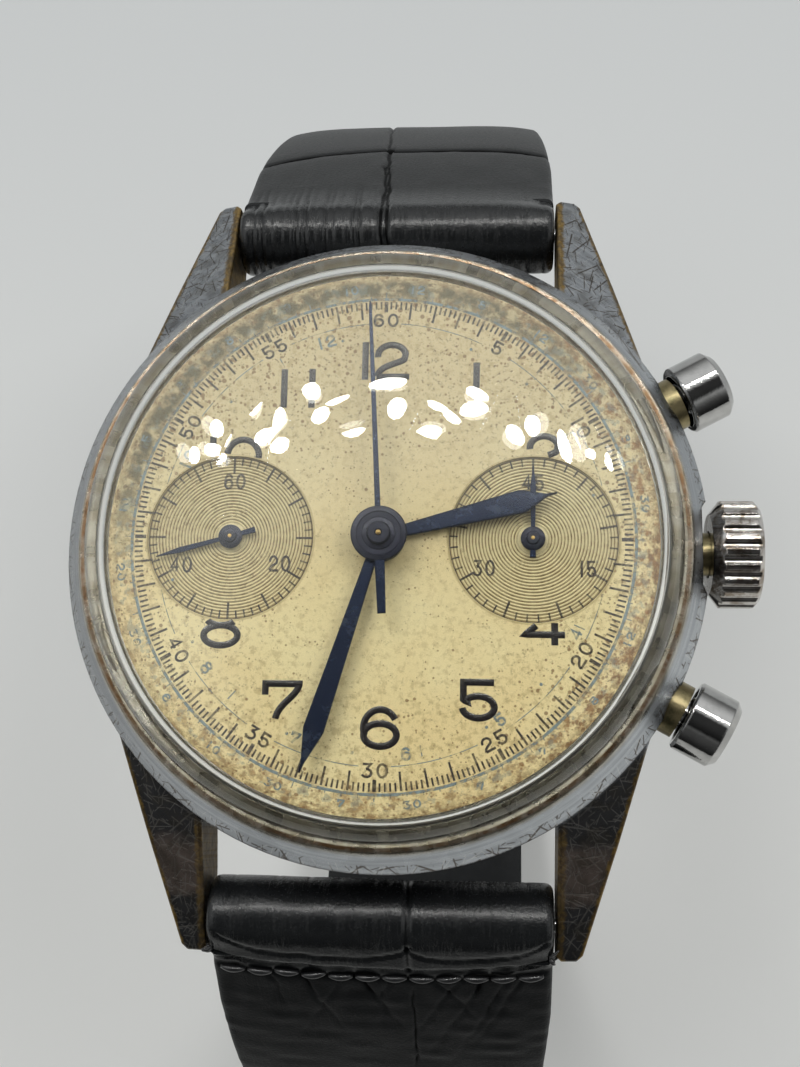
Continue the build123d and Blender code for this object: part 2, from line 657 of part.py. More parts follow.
with BuildPart() as center_wheel:
    toothed(4.85, 5.05, 80, 0.11, CENTRE, PH_C)
    crossings(4.85, 5.05, CENTRE, 2.45, 1.15)
    toothed(4.25, 4.78, 12, 0.14, CENTRE, PH_CP)
    arbor(4.6, 4.9, 0.6, CENTRE)
    arbor(2.15, 8.4, 0.33, CENTRE)
    with BuildSketch(Plane.XY.offset(2)):
        Circle(0.21)
    extrude(amount=7, mode=Mode.SUBTRACT)
save(center_wheel, "center_wheel")

with BuildPart() as third_wheel:
    toothed(3.9, 4.08, 75, 0.09, THIRD, PH_3)
    crossings(3.9, 4.08, THIRD, 1.95, 0.9)
    toothed(4.78, 5.12, 10, 0.11, THIRD, PH_3P)
    arbor(3.0, 5.5, 0.25, THIRD)
    arbor(2.25, 6.25, 0.13, THIRD)
save(third_wheel, "third_wheel")

with BuildPart() as fourth_wheel:
    toothed(3.3, 3.48, 70, 0.09, FOURTH, PH_4)
    crossings(3.3, 3.48, FOURTH, 1.8, 0.85)
    toothed(3.82, 4.16, 10, 0.09, FOURTH, PH_4P)
    arbor(2.95, 5.5, 0.24, FOURTH)
    arbor(L4[0], 7.98, 0.15, FOURTH)
    toothed(L4[0], L4[1], 100, 0.064, FOURTH, 0)
save(fourth_wheel, "fourth_wheel")

with BuildPart() as escape_wheel:
    # fifteen raked teeth
    pts = []
    for i in range(15):
        a0 = 2 * pi * i / 15
        for rr, da in ((1.55, 0.0), (2.2, 0.07), (2.2, 0.14), (1.5, 0.22)):
            pts.append((ESCAPE[0] + rr * cos(a0 + da), ESCAPE[1] + rr * sin(a0 + da)))
    with BuildSketch(Plane.XY.offset(4.4)):
        Polygon(*pts, align=None)
    extrude(amount=0.18)
    crossings(4.4, 4.58, ESCAPE, 0.9, 0.35, 4)
    toothed(3.2, 3.6, 7, 0.09, ESCAPE, PH_EP)
    arbor(3.0, 5.3, 0.2, ESCAPE)
    arbor(2.25, 6.25, 0.12, ESCAPE)
save(escape_wheel, "escape_wheel")

PB = bearing(PALLET, BALANCE)
with BuildPart() as pallet_lever:
    u = (cos(radians(PB)), sin(radians(PB)))
    v = (-u[1], u[0])

    def pl_at(s, t):
        return (PALLET[0] + u[0] * s + v[0] * t, PALLET[1] + u[1] * s + v[1] * t)
    with BuildSketch(Plane.XY.offset(4.4)):
        Polygon(pl_at(-0.35, -0.2), pl_at(0.5, -0.16), pl_at(3.0, -0.14), pl_at(3.2, -0.45), pl_at(3.55, -0.45), pl_at(3.5, -0.2), pl_at(3.3, -0.12),
                pl_at(3.3, 0.12), pl_at(3.5, 0.2), pl_at(3.55, 0.45), pl_at(3.2, 0.45), pl_at(3.0, 0.14), pl_at(0.5, 0.16), pl_at(-0.35, 0.2), align=None)
        Polygon(pl_at(-0.3, -1.75), pl_at(-1.15, -2.05), pl_at(-1.25, -1.7), pl_at(-0.45, -1.2), pl_at(-0.35, 0), pl_at(0.1, 0), pl_at(0.05, -1.2), align=None)
        Polygon(pl_at(-0.3, 1.75), pl_at(-1.15, 2.05), pl_at(-1.25, 1.7), pl_at(-0.45, 1.2), pl_at(-0.35, 0), pl_at(0.1, 0), pl_at(0.05, 1.2), align=None)
    extrude(amount=0.18)
    arbor(4.3, 5.4, 0.2, PALLET)
    arbor(5.3, 6.2, 0.12, PALLET)
save(pallet_lever, "pallet_lever")

with BuildPart() as balance_wheel:
    with BuildSketch(Plane.XY.offset(3.2)):
        with Locations(BALANCE):
            Circle(3.85)
            Circle(3.4, mode=Mode.SUBTRACT)
            Rectangle(7.0, 0.5, rotation=35)
            Circle(0.6)
    extrude(amount=0.28)
    # timing screws round the rim
    with BuildSketch(Plane.XY.offset(3.48)):
        with Locations(BALANCE):
            with PolarLocations(3.62, 12):
                Circle(0.2)
    extrude(amount=0.16)
    arbor(4.3, 4.62, 0.5, BALANCE)
    arbor(2.85, 5.3, 0.2, BALANCE)
    arbor(2.25, 6.25, 0.12, BALANCE)
save(balance_wheel, "balance_wheel")

with BuildPart() as hairspring:
    with BuildSketch(Plane.XY.offset(2.95)):
        Polygon(*spiral(0.35, 2.7, 7, 0.07, BALANCE), align=None)
    extrude(amount=0.14)
save(hairspring, "hairspring")

# ---------------------------------------------------------------- chronograph work
with BuildPart() as chrono_runner:
    toothed(L4[0], L4[1], 76, 0.064, CENTRE, bearing(CENTRE, FOURTH))
    toothed(L3[0], L3[1], 8, 0.08, CENTRE, bearing(CENTRE, INTER))
    with BuildSketch(Plane.XY.offset(L1[0])):
        Polygon((0.28, -0.35), (0.5, 0.0), (0.4, 0.35), (0.0, 0.5), (-0.4, 0.35), (-0.5, 0.0), (-0.28, -0.35), (0, -0.2), align=None)
    extrude(amount=L1[1] - L1[0])
    arbor(L0[0] + 0.02, 9.1, 0.15, CENTRE)
save(chrono_runner, "chrono_runner")

PH_I = mesh_phase(CENTRE, 8, bearing(CENTRE, INTER), INTER, 60)
with BuildPart() as intermediate_wheel:
    toothed(L3[0], L3[1], 60, 0.08, INTER, PH_I)
    toothed(L2[0], L2[1] + 0.06, 8, 0.19, INTER, bearing(INTER, COUNT))
    arbor(L0[0] + 0.02, 2.4, 0.14, INTER)
save(intermediate_wheel, "intermediate_wheel")

with BuildPart() as counter_wheel:
    toothed(L2[0], L2[1], 48, 0.19, COUNT, mesh_phase(INTER, 8, bearing(INTER, COUNT), COUNT, 48))
    crossings(L2[0], L2[1], COUNT, 2.6, 1.1)
    with BuildSketch(Plane.XY.offset(L1[0])):
        Polygon(*[(XS + x, y) for x, y in ((0.28, -0.35), (0.5, 0.0), (0.4, 0.35), (0.0, 0.5), (-0.4, 0.35), (-0.5, 0.0), (-0.28, -0.35), (0, -0.2))], align=None)
    extrude(amount=L1[1] - L1[0])
    arbor(L0[0] + 0.02, 7.98, 0.15, COUNT)
save(counter_wheel, "counter_wheel")

with BuildPart() as column_wheel:
    toothed(L1[0] + 0.02, L1[1] - 0.02, 18, 0.14, COLUMN, 5)
    with BuildSketch(Plane.XY.offset(1.46)):
        with Locations(COLUMN):
            with PolarLocations(0.72, 6):
                Rectangle(0.4, 0.34)
            Circle(0.45)
    extrude(amount=0.5)
    with BuildSketch(Plane.XY.offset(1.2)):
        with Locations(COLUMN):
            Circle(0.3)
    extrude(amount=1, mode=Mode.SUBTRACT)
save(column_wheel, "column_wheel")

with BuildPart() as lever_studs:
    for p, r in ((COLUMN, 0.26), (LEVER_S, 0.36), (LEVER_R, 0.36), (COUPLE_P, 0.3)):
        arbor(1.1, Z_BR0 if p != LEVER_R else Z_PLATE0, r, p)
save(lever_studs, "lever_studs")


def lever_body(points, pivot, r_eye, r_hole, z0, z1):
    with BuildSketch(Plane.XY.offset(z0)) as sk:
        Polygon(*points, align=None)
        with Locations(pivot):
            Circle(r_eye)
            Circle(r_hole, mode=Mode.SUBTRACT)
    extrude(sk.sketch, amount=z1 - z0)


pu = (cos(radians(PUSH_ANGLE)), sin(radians(PUSH_ANGLE)))
TAB_R = 12.68
with BuildPart() as start_lever:
    lever_body([(8.4, 10.1), (7.8, 8.7), (9.6, 7.2), (10.6, 5.6), (11.7, 6.3), (10.4, 8.6)], LEVER_S, 0.75, 0.4, *L1)
    with BuildSketch(Plane.XY.offset(L1[0])):
        Polygon((8.0, 10.1), (8.2, 8.8), (5.2, 9.6), (2.9, 10.4), (2.95, 10.8), (5.4, 10.7), align=None)
        with Locations(LEVER_S):
            Circle(0.4, mode=Mode.SUBTRACT)
    extrude(amount=L1[1] - L1[0])
    with BuildSketch(Plane(origin=((TAB_R - 0.35) * pu[0], (TAB_R - 0.35) * pu[1], L1[0]), x_dir=(pu[0], pu[1], 0), z_dir=(0, 0, 1))):
        Rectangle(0.7, 1.5)
    extrude(amount=5.1 - L1[0])
save(start_lever, "start_lever")

with BuildPart() as reset_hammer:
    lever_body([(8.4, -10.1), (7.8, -8.7), (9.6, -7.2), (10.6, -5.6), (11.7, -6.3), (10.4, -8.6)], LEVER_R, 0.75, 0.4, *L1)
    with BuildSketch(Plane.XY.offset(L1[0])):
        # arm to the counter heart
        Polygon((8.9, -9.6), (8.0, -8.6), (9.4, -4.0), (10.35, -0.9), (10.05, -0.5), (10.05, 0.5), (10.45, 0.7), (10.95, -1.0), (10.2, -4.4), align=None)
        # arm to the centre heart
        Polygon((8.0, -8.6), (8.9, -9.6), (7.9, -9.9), (5.2, -4.85), (3.0, -0.4), (2.25, 0.55), (2.6, 0.62), (3.4, -0.1), (5.85, -4.45), align=None)
        with Locations(LEVER_R):
            Circle(0.4, mode=Mode.SUBTRACT)
    extrude(amount=L1[1] - L1[0])
    with BuildSketch(Plane(origin=((TAB_R - 0.35) * pu[0], -(TAB_R - 0.35) * pu[1], L1[0]), x_dir=(pu[0], -pu[1], 0), z_dir=(0, 0, 1))):
        Rectangle(0.7, 1.5)
    extrude(amount=5.1 - L1[0])
save(reset_hammer, "reset_hammer")

COUPLE_W = meet(FOURTH, 4.1, CENTRE, 3.88, 1)     # coupling wheel, out of mesh with the runner
with BuildPart() as coupling_lever:
    lever_body([(-8.9, 6.4), (-7.7, 7.2), (-3.0, 3.2), (-2.9, 1.2), (-4.3, 0.9), (-4.5, 2.6)], COUPLE_P, 0.7, 0.34, *L1)
    arbor(L1[1] - 0.05, L4[0] - 0.02, 0.2, COUPLE_W)
save(coupling_lever, "coupling_lever")

with BuildPart() as coupling_wheel:
    toothed(L4[0], L4[1], 26, 0.064, COUPLE_W, mesh_phase(FOURTH, 100, 0, COUPLE_W, 26))
    with BuildSketch(Plane.XY.offset(1.5)):
        with Locations(COUPLE_W):
            Circle(0.4)
    extrude(amount=L4[0] - 1.5)
    with BuildSketch(Plane.XY.offset(1.4)):
        with Locations(COUPLE_W):
            Circle(0.24)
    extrude(amount=1, mode=Mode.SUBTRACT)
save(coupling_wheel, "coupling_wheel")

# ---------------------------------------------------------------- strap
Z_BOT_12 = -41.3        # outer face of the short half at the bottom of the loop
GAP = 0.06


class Path:
    """Tangent lines and arcs in the YZ plane, with the strap's outer face on the left."""

    def __init__(self, y, z, heading):
        self.y, self.z, self.a = y, z, heading
        self.parts = []

    def normal(self, a):
        return (-sin(radians(a)), cos(radians(a)))

    def line(self, length, t0, t1):
        p0 = (self.y, self.z)
        self.y += length * cos(radians(self.a))
        self.z += length * sin(radians(self.a))
        self.parts.append(("line", [(p0, self.a, t0), ((self.y, self.z), self.a, t1)]))

    def arc(self, radius, turn, t0, t1):
        """Turn clockwise by turn degrees; radius is that of the outer face."""
        n = self.normal(self.a)
        cy, cz = self.y - n[0] * radius, self.z - n[1] * radius
        pts = []
        for k, t in ((0, t0), (0.5, (t0 + t1) / 2), (1, t1)):
            a = self.a - turn * k
            m = self.normal(a)
            pts.append(((cy + m[0] * radius, cz + m[1] * radius), a, t))
        self.parts.append(("arc", pts))
        (self.y, self.z), self.a = pts[2][0], pts[2][1]
        return cy, cz

    def outline(self, side):
        """Edges of the closed outline, side = +1 or -1 along Y."""
        def o(p):
            return (side * p[0][0], p[0][1])

        def i(p):
            n = self.normal(p[1])
            return (side * (p[0][0] - n[0] * p[2]), p[0][1] - n[1] * p[2])
        first, last = self.parts[0][1][0], self.parts[-1][1][-1]
        for kind, pts in self.parts:
            if kind == "line":
                Line(o(pts[0]), o(pts[1]))
                Line(i(pts[0]), i(pts[1]))
            else:
                ThreePointArc(o(pts[0]), o(pts[1]), o(pts[2]))
                ThreePointArc(i(pts[0]), i(pts[1]), i(pts[2]))
        Line(o(first), i(first))
        Line(o(last), i(last))


def main_radius(path, z_bottom):
    return (path.z - z_bottom) / (1 + cos(radians(path.a)))


BUCKLE_Y, BUCKLE_Z = 0.5, Z_BOT_12 + 1.4
R_BUCKLE_BAR = 0.6

p12 = Path(BAR_Y + R_ROLL * sin(radians(42)), BAR_Z + R_ROLL * cos(radians(42)), -42)
p12.line(5.2, T_STRAP_LUG, T_STRAP_LUG)
p12.arc(44, 20, T_STRAP_LUG, 2.3)
R12 = main_radius(p12, Z_BOT_12)
C12 = p12.arc(R12, 118, 2.3, T_STRAP)
p12.line(C12[0] - BUCKLE_Y, T_STRAP, T_STRAP)

p6 = Path(BAR_Y + R_ROLL * sin(radians(46)), BAR_Z + R_ROLL * cos(radians(46)), -46)
p6.line(4.2, T_STRAP_LUG, T_STRAP_LUG)
p6.arc(40, 18, T_STRAP_LUG, 2.3)
Z_BOT_6 = Z_BOT_12 - GAP - T_STRAP
R6 = main_radius(p6, Z_BOT_6)
C6 = p6.arc(R6, 116, 2.3, T_STRAP)
p6.line(C6[0] + C12[0], T_STRAP, T_STRAP)
R_TAIL = R12 + GAP + T_STRAP
p6.arc(R_TAIL, 62, T_STRAP, T_STRAP)
print("loop radii", R12, R6, R_TAIL, "centres", C12, C6, "bottom", Z_BOT_12, Z_BOT_6)

taper = [(-STRAP_W / 2, 5), (STRAP_W / 2, 5), (STRAP_W / 2, -1), (STRAP_W_END / 2, -38), (STRAP_W_END / 2, -46),
         (-STRAP_W_END / 2, -46), (-STRAP_W_END / 2, -38), (-STRAP_W / 2, -1)]

with BuildPart() as strap_12:
    with BuildSketch(Plane.YZ):
        with BuildLine():
            p12.outline(1)
        make_face()
        with Locations((BAR_Y, BAR_Z)):
            Circle(R_ROLL)
            Circle(R_BAR + 0.05, mode=Mode.SUBTRACT)
        with Locations((BUCKLE_Y, BUCKLE_Z)):
            Circle(1.4)
            Circle(R_BUCKLE_BAR + 0.05, mode=Mode.SUBTRACT)
    extrude(amount=STRAP_W / 2, both=True)
    with BuildSketch(Plane.XZ):
        Polygon(*taper, align=None)
    extrude(amount=60, both=True, mode=Mode.INTERSECT)
    # notch for the tongue
    with BuildSketch(Plane.XY.offset(Z_BOT_12 - 1)):
        with Locations((0, BUCKLE_Y)):
            Rectangle(2.3, 3.6)
    extrude(amount=6, mode=Mode.SUBTRACT)
save(strap_12, "strap_12")

TONGUE_Y = -1.9
with BuildPart() as strap_6:
    with BuildSketch(Plane.YZ):
        with BuildLine():
            p6.outline(-1)
        make_face()
        with Locations((-BAR_Y, BAR_Z)):
            Circle(R_ROLL)
            Circle(R_BAR + 0.05, mode=Mode.SUBTRACT)
    extrude(amount=STRAP_W / 2, both=True)
    with BuildSketch(Plane.XZ):
        Polygon(*taper, align=None)
    extrude(amount=60, both=True, mode=Mode.INTERSECT)
    # holes for the tongue
    with BuildSketch(Plane.XY.offset(Z_BOT_6 - 1)):
        with Locations((0, TONGUE_Y + 0.45)):
            Rectangle(1.8, 3.6)
        with Locations((0, TONGUE_Y + 6.2), (0, TONGUE_Y + 12.4), (0, TONGUE_Y - 6.2), (0, TONGUE_Y - 12.4)):
            Circle(0.75)
    extrude(amount=4, mode=Mode.SUBTRACT)
save(strap_6, "strap_6")

for name, s in (("spring_bar_12", 1), ("spring_bar_6", -1)):
    with BuildPart() as bar:
        with BuildSketch(Plane.YZ.offset(-8.6)):
            with Locations((s * BAR_Y, BAR_Z)):
                Circle(R_BAR)
        extrude(amount=17.2)
        with BuildSketch(Plane.YZ.offset(-9.0)):
            with Locations((s * BAR_Y, BAR_Z)):
                Circle(0.6)
        extrude(amount=18.0)
        with BuildSketch(Plane.YZ.offset(-9.85)):
            with Locations((s * BAR_Y, BAR_Z)):
                Circle(R_BAR_PIN)
        extrude(amount=19.7)
    save(bar, name)

Z_FOOT = Z_BOT_6 - 1.30
for name, y0 in (("fixed_keeper", 3.2), ("free_keeper", 10.4)):
    with BuildPart() as keeper:
        with BuildSketch(Plane.XZ.offset(-y0 - 4.6)):
            with BuildLine():
                Polyline((-9.4, Z_FOOT), (9.4, Z_FOOT), (9.4, -38.0), (-9.4, -38.0), close=True)
            make_face()
        extrude(amount=4.6)
        fillet(keeper.edges().filter_by(Axis.Y), 0.9)
        with BuildSketch(Plane.XZ.offset(-y0 - 4.7)):
            with BuildLine():
                Polyline((-8.2, Z_BOT_6 - 0.1), (8.2, Z_BOT_6 - 0.1), (8.2, Z_BOT_12 + T_STRAP + 0.1), (-8.2, Z_BOT_12 + T_STRAP + 0.1), close=True)
            make_face()
        extrude(amount=4.8, mode=Mode.SUBTRACT)
    save(keeper, name)

with BuildPart() as buckle_frame:
    # side arms, from the bar down to the cross piece
    with BuildSketch(Plane.YZ.offset(8.35)):
        with BuildLine():
            Polyline((BUCKLE_Y + 1.0, BUCKLE_Z + 0.7), (BUCKLE_Y + 1.2, BUCKLE_Z - 0.9), (-7.6, Z_FOOT), (-10.4, Z_FOOT), (-10.4, Z_BOT_6 + 0.4), (-8.6, Z_BOT_6 + 1.2),
                     (BUCKLE_Y - 0.9, BUCKLE_Z + 1.1), close=True)
        make_face()
    extrude(amount=1.55)
    mirror(about=Plane.YZ)
    with BuildSketch(Plane.XY.offset(Z_FOOT)):
        with Locations((0, -9.3)):
            Rectangle(2 * 9.9, 2.2)
    extrude(amount=Z_BOT_6 - GAP - Z_FOOT)
    with BuildSketch(Plane.XY.offset(Z_FOOT - 0.1)):
        with Locations((0, -9.3)):
            Rectangle(1.7, 3)
    extrude(amount=0.95, mode=Mode.SUBTRACT)
    with BuildSketch(Plane.YZ.offset(-12)):
        with Locations((BUCKLE_Y, BUCKLE_Z)):
            Circle(R_BUCKLE_BAR + 0.04)
    extrude(amount=24, mode=Mode.SUBTRACT)
save(buckle_frame, "buckle_frame")

with BuildPart() as buckle_bar:
    with BuildSketch(Plane.YZ.offset(-9.9)):
        with Locations((BUCKLE_Y, BUCKLE_Z)):
            Circle(R_BUCKLE_BAR)
    extrude(amount=19.8)
save(buckle_bar, "buckle_bar")

with BuildPart() as buckle_tongue:
    with BuildSketch(Plane.YZ.offset(-0.7)):
        with BuildLine():
            Polyline((BUCKLE_Y - 0.5, BUCKLE_Z + 0.8), (-1.1, -40.6), (-2.3, -42.6), (-2.9, Z_FOOT + 0.82), (-10.3, Z_FOOT + 0.82),
                     (-10.5, Z_FOOT + 0.45), (-10.3, Z_FOOT + 0.12), (-2.2, Z_FOOT + 0.12), (-1.5, -43.2), (-0.6, -41.6), (BUCKLE_Y + 0.2, BUCKLE_Z - 1.1), close=True)
        make_face()
        with Locations((BUCKLE_Y, BUCKLE_Z)):
            Circle(1.15)
            Circle(R_BUCKLE_BAR + 0.05, mode=Mode.SUBTRACT)
    extrude(amount=1.4)
save(buckle_tongue, "buckle_tongue")

print(len(NODES), "nodes, foot at", Z_FOOT)
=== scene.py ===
# Chronograph wristwatch: looks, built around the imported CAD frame.
import math
import random

import bpy
import numpy as np
from mathutils import Matrix, Vector


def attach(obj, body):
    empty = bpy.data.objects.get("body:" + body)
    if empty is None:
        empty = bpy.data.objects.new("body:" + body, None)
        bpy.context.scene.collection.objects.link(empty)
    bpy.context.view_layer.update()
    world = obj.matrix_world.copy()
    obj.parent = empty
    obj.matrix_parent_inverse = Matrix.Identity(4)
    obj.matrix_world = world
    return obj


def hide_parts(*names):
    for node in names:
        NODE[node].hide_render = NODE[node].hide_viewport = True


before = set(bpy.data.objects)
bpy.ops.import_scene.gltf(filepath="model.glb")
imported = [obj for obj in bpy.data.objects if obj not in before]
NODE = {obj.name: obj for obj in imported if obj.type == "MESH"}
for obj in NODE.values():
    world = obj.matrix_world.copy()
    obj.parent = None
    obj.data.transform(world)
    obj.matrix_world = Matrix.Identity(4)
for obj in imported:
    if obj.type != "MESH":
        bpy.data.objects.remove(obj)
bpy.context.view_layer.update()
MM = 0.001
rnd = random.Random(7)

# ---------------------------------------------------------------- camera
AZ, EL, ROLL = math.radians(22.757), math.radians(77.189), math.radians(-21.827)
DIST, FPX, CX, CY = 74.118, 1395.34, 383.89, 546.43
back = Vector((math.sin(AZ) * math.cos(EL), -math.cos(AZ) * math.cos(EL), math.sin(EL)))
right = Vector((math.cos(AZ), math.sin(AZ), 0))
up = back.cross(right)
r2 = right * math.cos(ROLL) + up * math.sin(ROLL)
u2 = up * math.cos(ROLL) - right * math.sin(ROLL)
eye = Vector((0, 0, 6)) + back * DIST
cam_data = bpy.data.cameras.new("camera")
cam = bpy.data.objects.new("camera", cam_data)
bpy.context.scene.collection.objects.link(cam)
cam.matrix_world = Matrix(((r2.x, u2.x, back.x, eye.x * MM), (r2.y, u2.y, back.y, eye.y * MM),
                           (r2.z, u2.z, back.z, eye.z * MM), (0, 0, 0, 1)))
cam_data.sensor_fit = "VERTICAL"
cam_data.sensor_height = 36
cam_data.lens = 36 * FPX / 1067
cam_data.shift_x = (400 - CX) / 1067
cam_data.shift_y = (CY - 533.5) / 1067
cam_data.clip_start, cam_data.clip_end = 0.005, 20
bpy.context.scene.camera = cam


def image_dir(px, py):
    """Direction from the eye through a point of the picture."""
    return (r2 * ((px - CX) / FPX) - u2 * ((py - CY) / FPX) - back).normalized()


# ---------------------------------------------------------------- mesh helpers
def add_mesh(name, verts, faces, material, body=None, smooth=True, sharp=None):
    """A mesh given in millimetres, riding on a body."""
    me = bpy.data.meshes.new(name)
    me.from_pydata([(v[0] * MM, v[1] * MM, v[2] * MM) for v in verts], [], faces)
    me.validate()
    if smooth:
        me.polygons.foreach_set("use_smooth", [True] * len(me.polygons))
        if sharp is not None:
            me.set_sharp_from_angle(angle=math.radians(sharp))
    me.materials.append(material)
    ob = bpy.data.objects.new(name, me)
    bpy.context.scene.collection.objects.link(ob)
    if body:
        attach(ob, body)
    return ob


def fillet_profile(points, radii, per=6):
    """Round the corners of an open or closed 2-D polyline."""
    out = []
    n = len(points)
    for i, p in enumerate(points):
        r = radii[i] if i < len(radii) else 0
        if r <= 0 or i in (0, n - 1):
            out.append(tuple(p))
            continue
        a, b = np.array(points[i - 1], float), np.array(points[i + 1], float)
        p = np.array(p, float)
        u, v = (a - p) / np.linalg.norm(a - p), (b - p) / np.linalg.norm(b - p)
        ang = math.acos(max(-1, min(1, float(u @ v))))
        d = min(r / math.tan(ang / 2), 0.48 * np.linalg.norm(a - p), 0.48 * np.linalg.norm(b - p))
        for k in range(per + 1):
            t = k / per
            q = (1 - t) ** 2 * (p + u * d) + 2 * t * (1 - t) * p + t ** 2 * (p + v * d)
            out.append((float(q[0]), float(q[1])))
    return out


def lathe(name, profile, seg, material, body, closed=True, centre=(0, 0), smooth_angle=35, axis=None):
    """Revolve (r, z) points about a vertical axis, or about axis=(origin, direction)."""
    verts, faces, rings = [], [], []
    for r, z in profile:
        if r < 1e-6:
            rings.append([len(verts)])
            verts.append((0, 0, z))
        else:
            rings.append(list(range(len(verts), len(verts) + seg)))
            for k in range(seg):
                a = 2 * math.pi * k / seg
                verts.append((r * math.cos(a), r * math.sin(a), z))
    pairs = list(zip(range(len(rings) - 1), range(1, len(rings))))
    if closed:
        pairs.append((len(rings) - 1, 0))
    for i, j in pairs:
        A, B = rings[i], rings[j]
        if len(A) == 1 and len(B) == 1:
            continue
        for k in range(seg):
            m = (k + 1) % seg
            if len(A) == 1:
                faces.append((A[0], B[k], B[m]))
            elif len(B) == 1:
                faces.append((A[k], B[0], A[m]))
            else:
                faces.append((A[k], B[k], B[m], A[m]))
    if axis:
        o, d = Vector(axis[0]), Vector(axis[1]).normalized()
        ux = d.orthogonal().normalized() if abs(d.z) > 0.9 else Vector((0, 0, 1))
        uy = d.cross(ux)
        verts = [tuple(o + ux * v[0] + uy * v[1] + d * v[2]) for v in verts]
    else:
        verts = [(v[0] + centre[0], v[1] + centre[1], v[2]) for v in verts]
    ob = add_mesh(name, verts, faces, material, None, True, smooth_angle)
    fix_normals(ob)
    if body:
        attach(ob, body)
    return ob


def fix_normals(ob):
    import bmesh
    bm = bmesh.new()
    bm.from_mesh(ob.data)
    bmesh.ops.recalc_face_normals(bm, faces=bm.faces)
    bm.to_mesh(ob.data)
    bm.free()


def turned(points, clock, c=(0, 0)):
    """Points drawn with +Y at twelve, turned clockwise to a clock angle."""
    a = math.radians(clock)
    return [(c[0] + x * math.cos(a) + y * math.sin(a), c[1] - x * math.sin(a) + y * math.cos(a)) for x, y in points]


def offset_in(points, d):
    """Inset a counter-clockwise outline."""
    n, out = len(points), []
    for i in range(n):
        p0, p, p1 = (np.array(points[(i + k) % n], float) for k in (-1, 0, 1))
        u, v = p - p0, p1 - p
        u, v = u / max(np.linalg.norm(u), 1e-9), v / max(np.linalg.norm(v), 1e-9)
        nu, nv = np.array((-u[1], u[0])), np.array((-v[1], v[0]))
        m = nu + nv
        m = m / max(np.linalg.norm(m), 1e-6)
        k = d / max(0.45, float(m @ nu))
        out.append(tuple(p + m * k))
    return out


def area2(points):
    return sum(a[0] * b[1] - b[0] * a[1] for a, b in zip(points, points[1:] + points[:1]))


def prism_data(points, z0, z1, bevel, verts, faces, crown=0.0):
    """A flat outline with bevelled top edges, added to verts and faces."""
    if area2(points) < 0:
        points = points[::-1]
    n = len(points)
    inner = offset_in(points, bevel)
    base = len(verts)
    for z, ps in ((z0, points), (z1 - bevel * 0.7, points), (z1, inner)):
        verts.extend((x, y, z) for x, y in ps)
    for ring in (0, 1):
        for k in range(n):
            m = (k + 1) % n
            a, b = base + ring * n, base + (ring + 1) * n
            faces.append((a + k, a + m, b + m, b + k))
    faces.append(tuple(base + 2 * n + k for k in range(n)))
    faces.append(tuple(base + n - 1 - k for k in range(n)))


def prism(name, outlines, material, body, angle=25):
    """outlines: list of (points, z0, z1, bevel)."""
    verts, faces = [], []
    for pts, z0, z1, bev in outlines:
        prism_data(list(pts), z0, z1, bev, verts, faces)
    return add_mesh(name, verts, faces, material, body, True, angle)


def circle_pts(r, c=(0, 0), n=64):
    return [(c[0] + r * math.cos(2 * math.pi * k / n), c[1] + r * math.sin(2 * math.pi * k / n)) for k in range(n)]


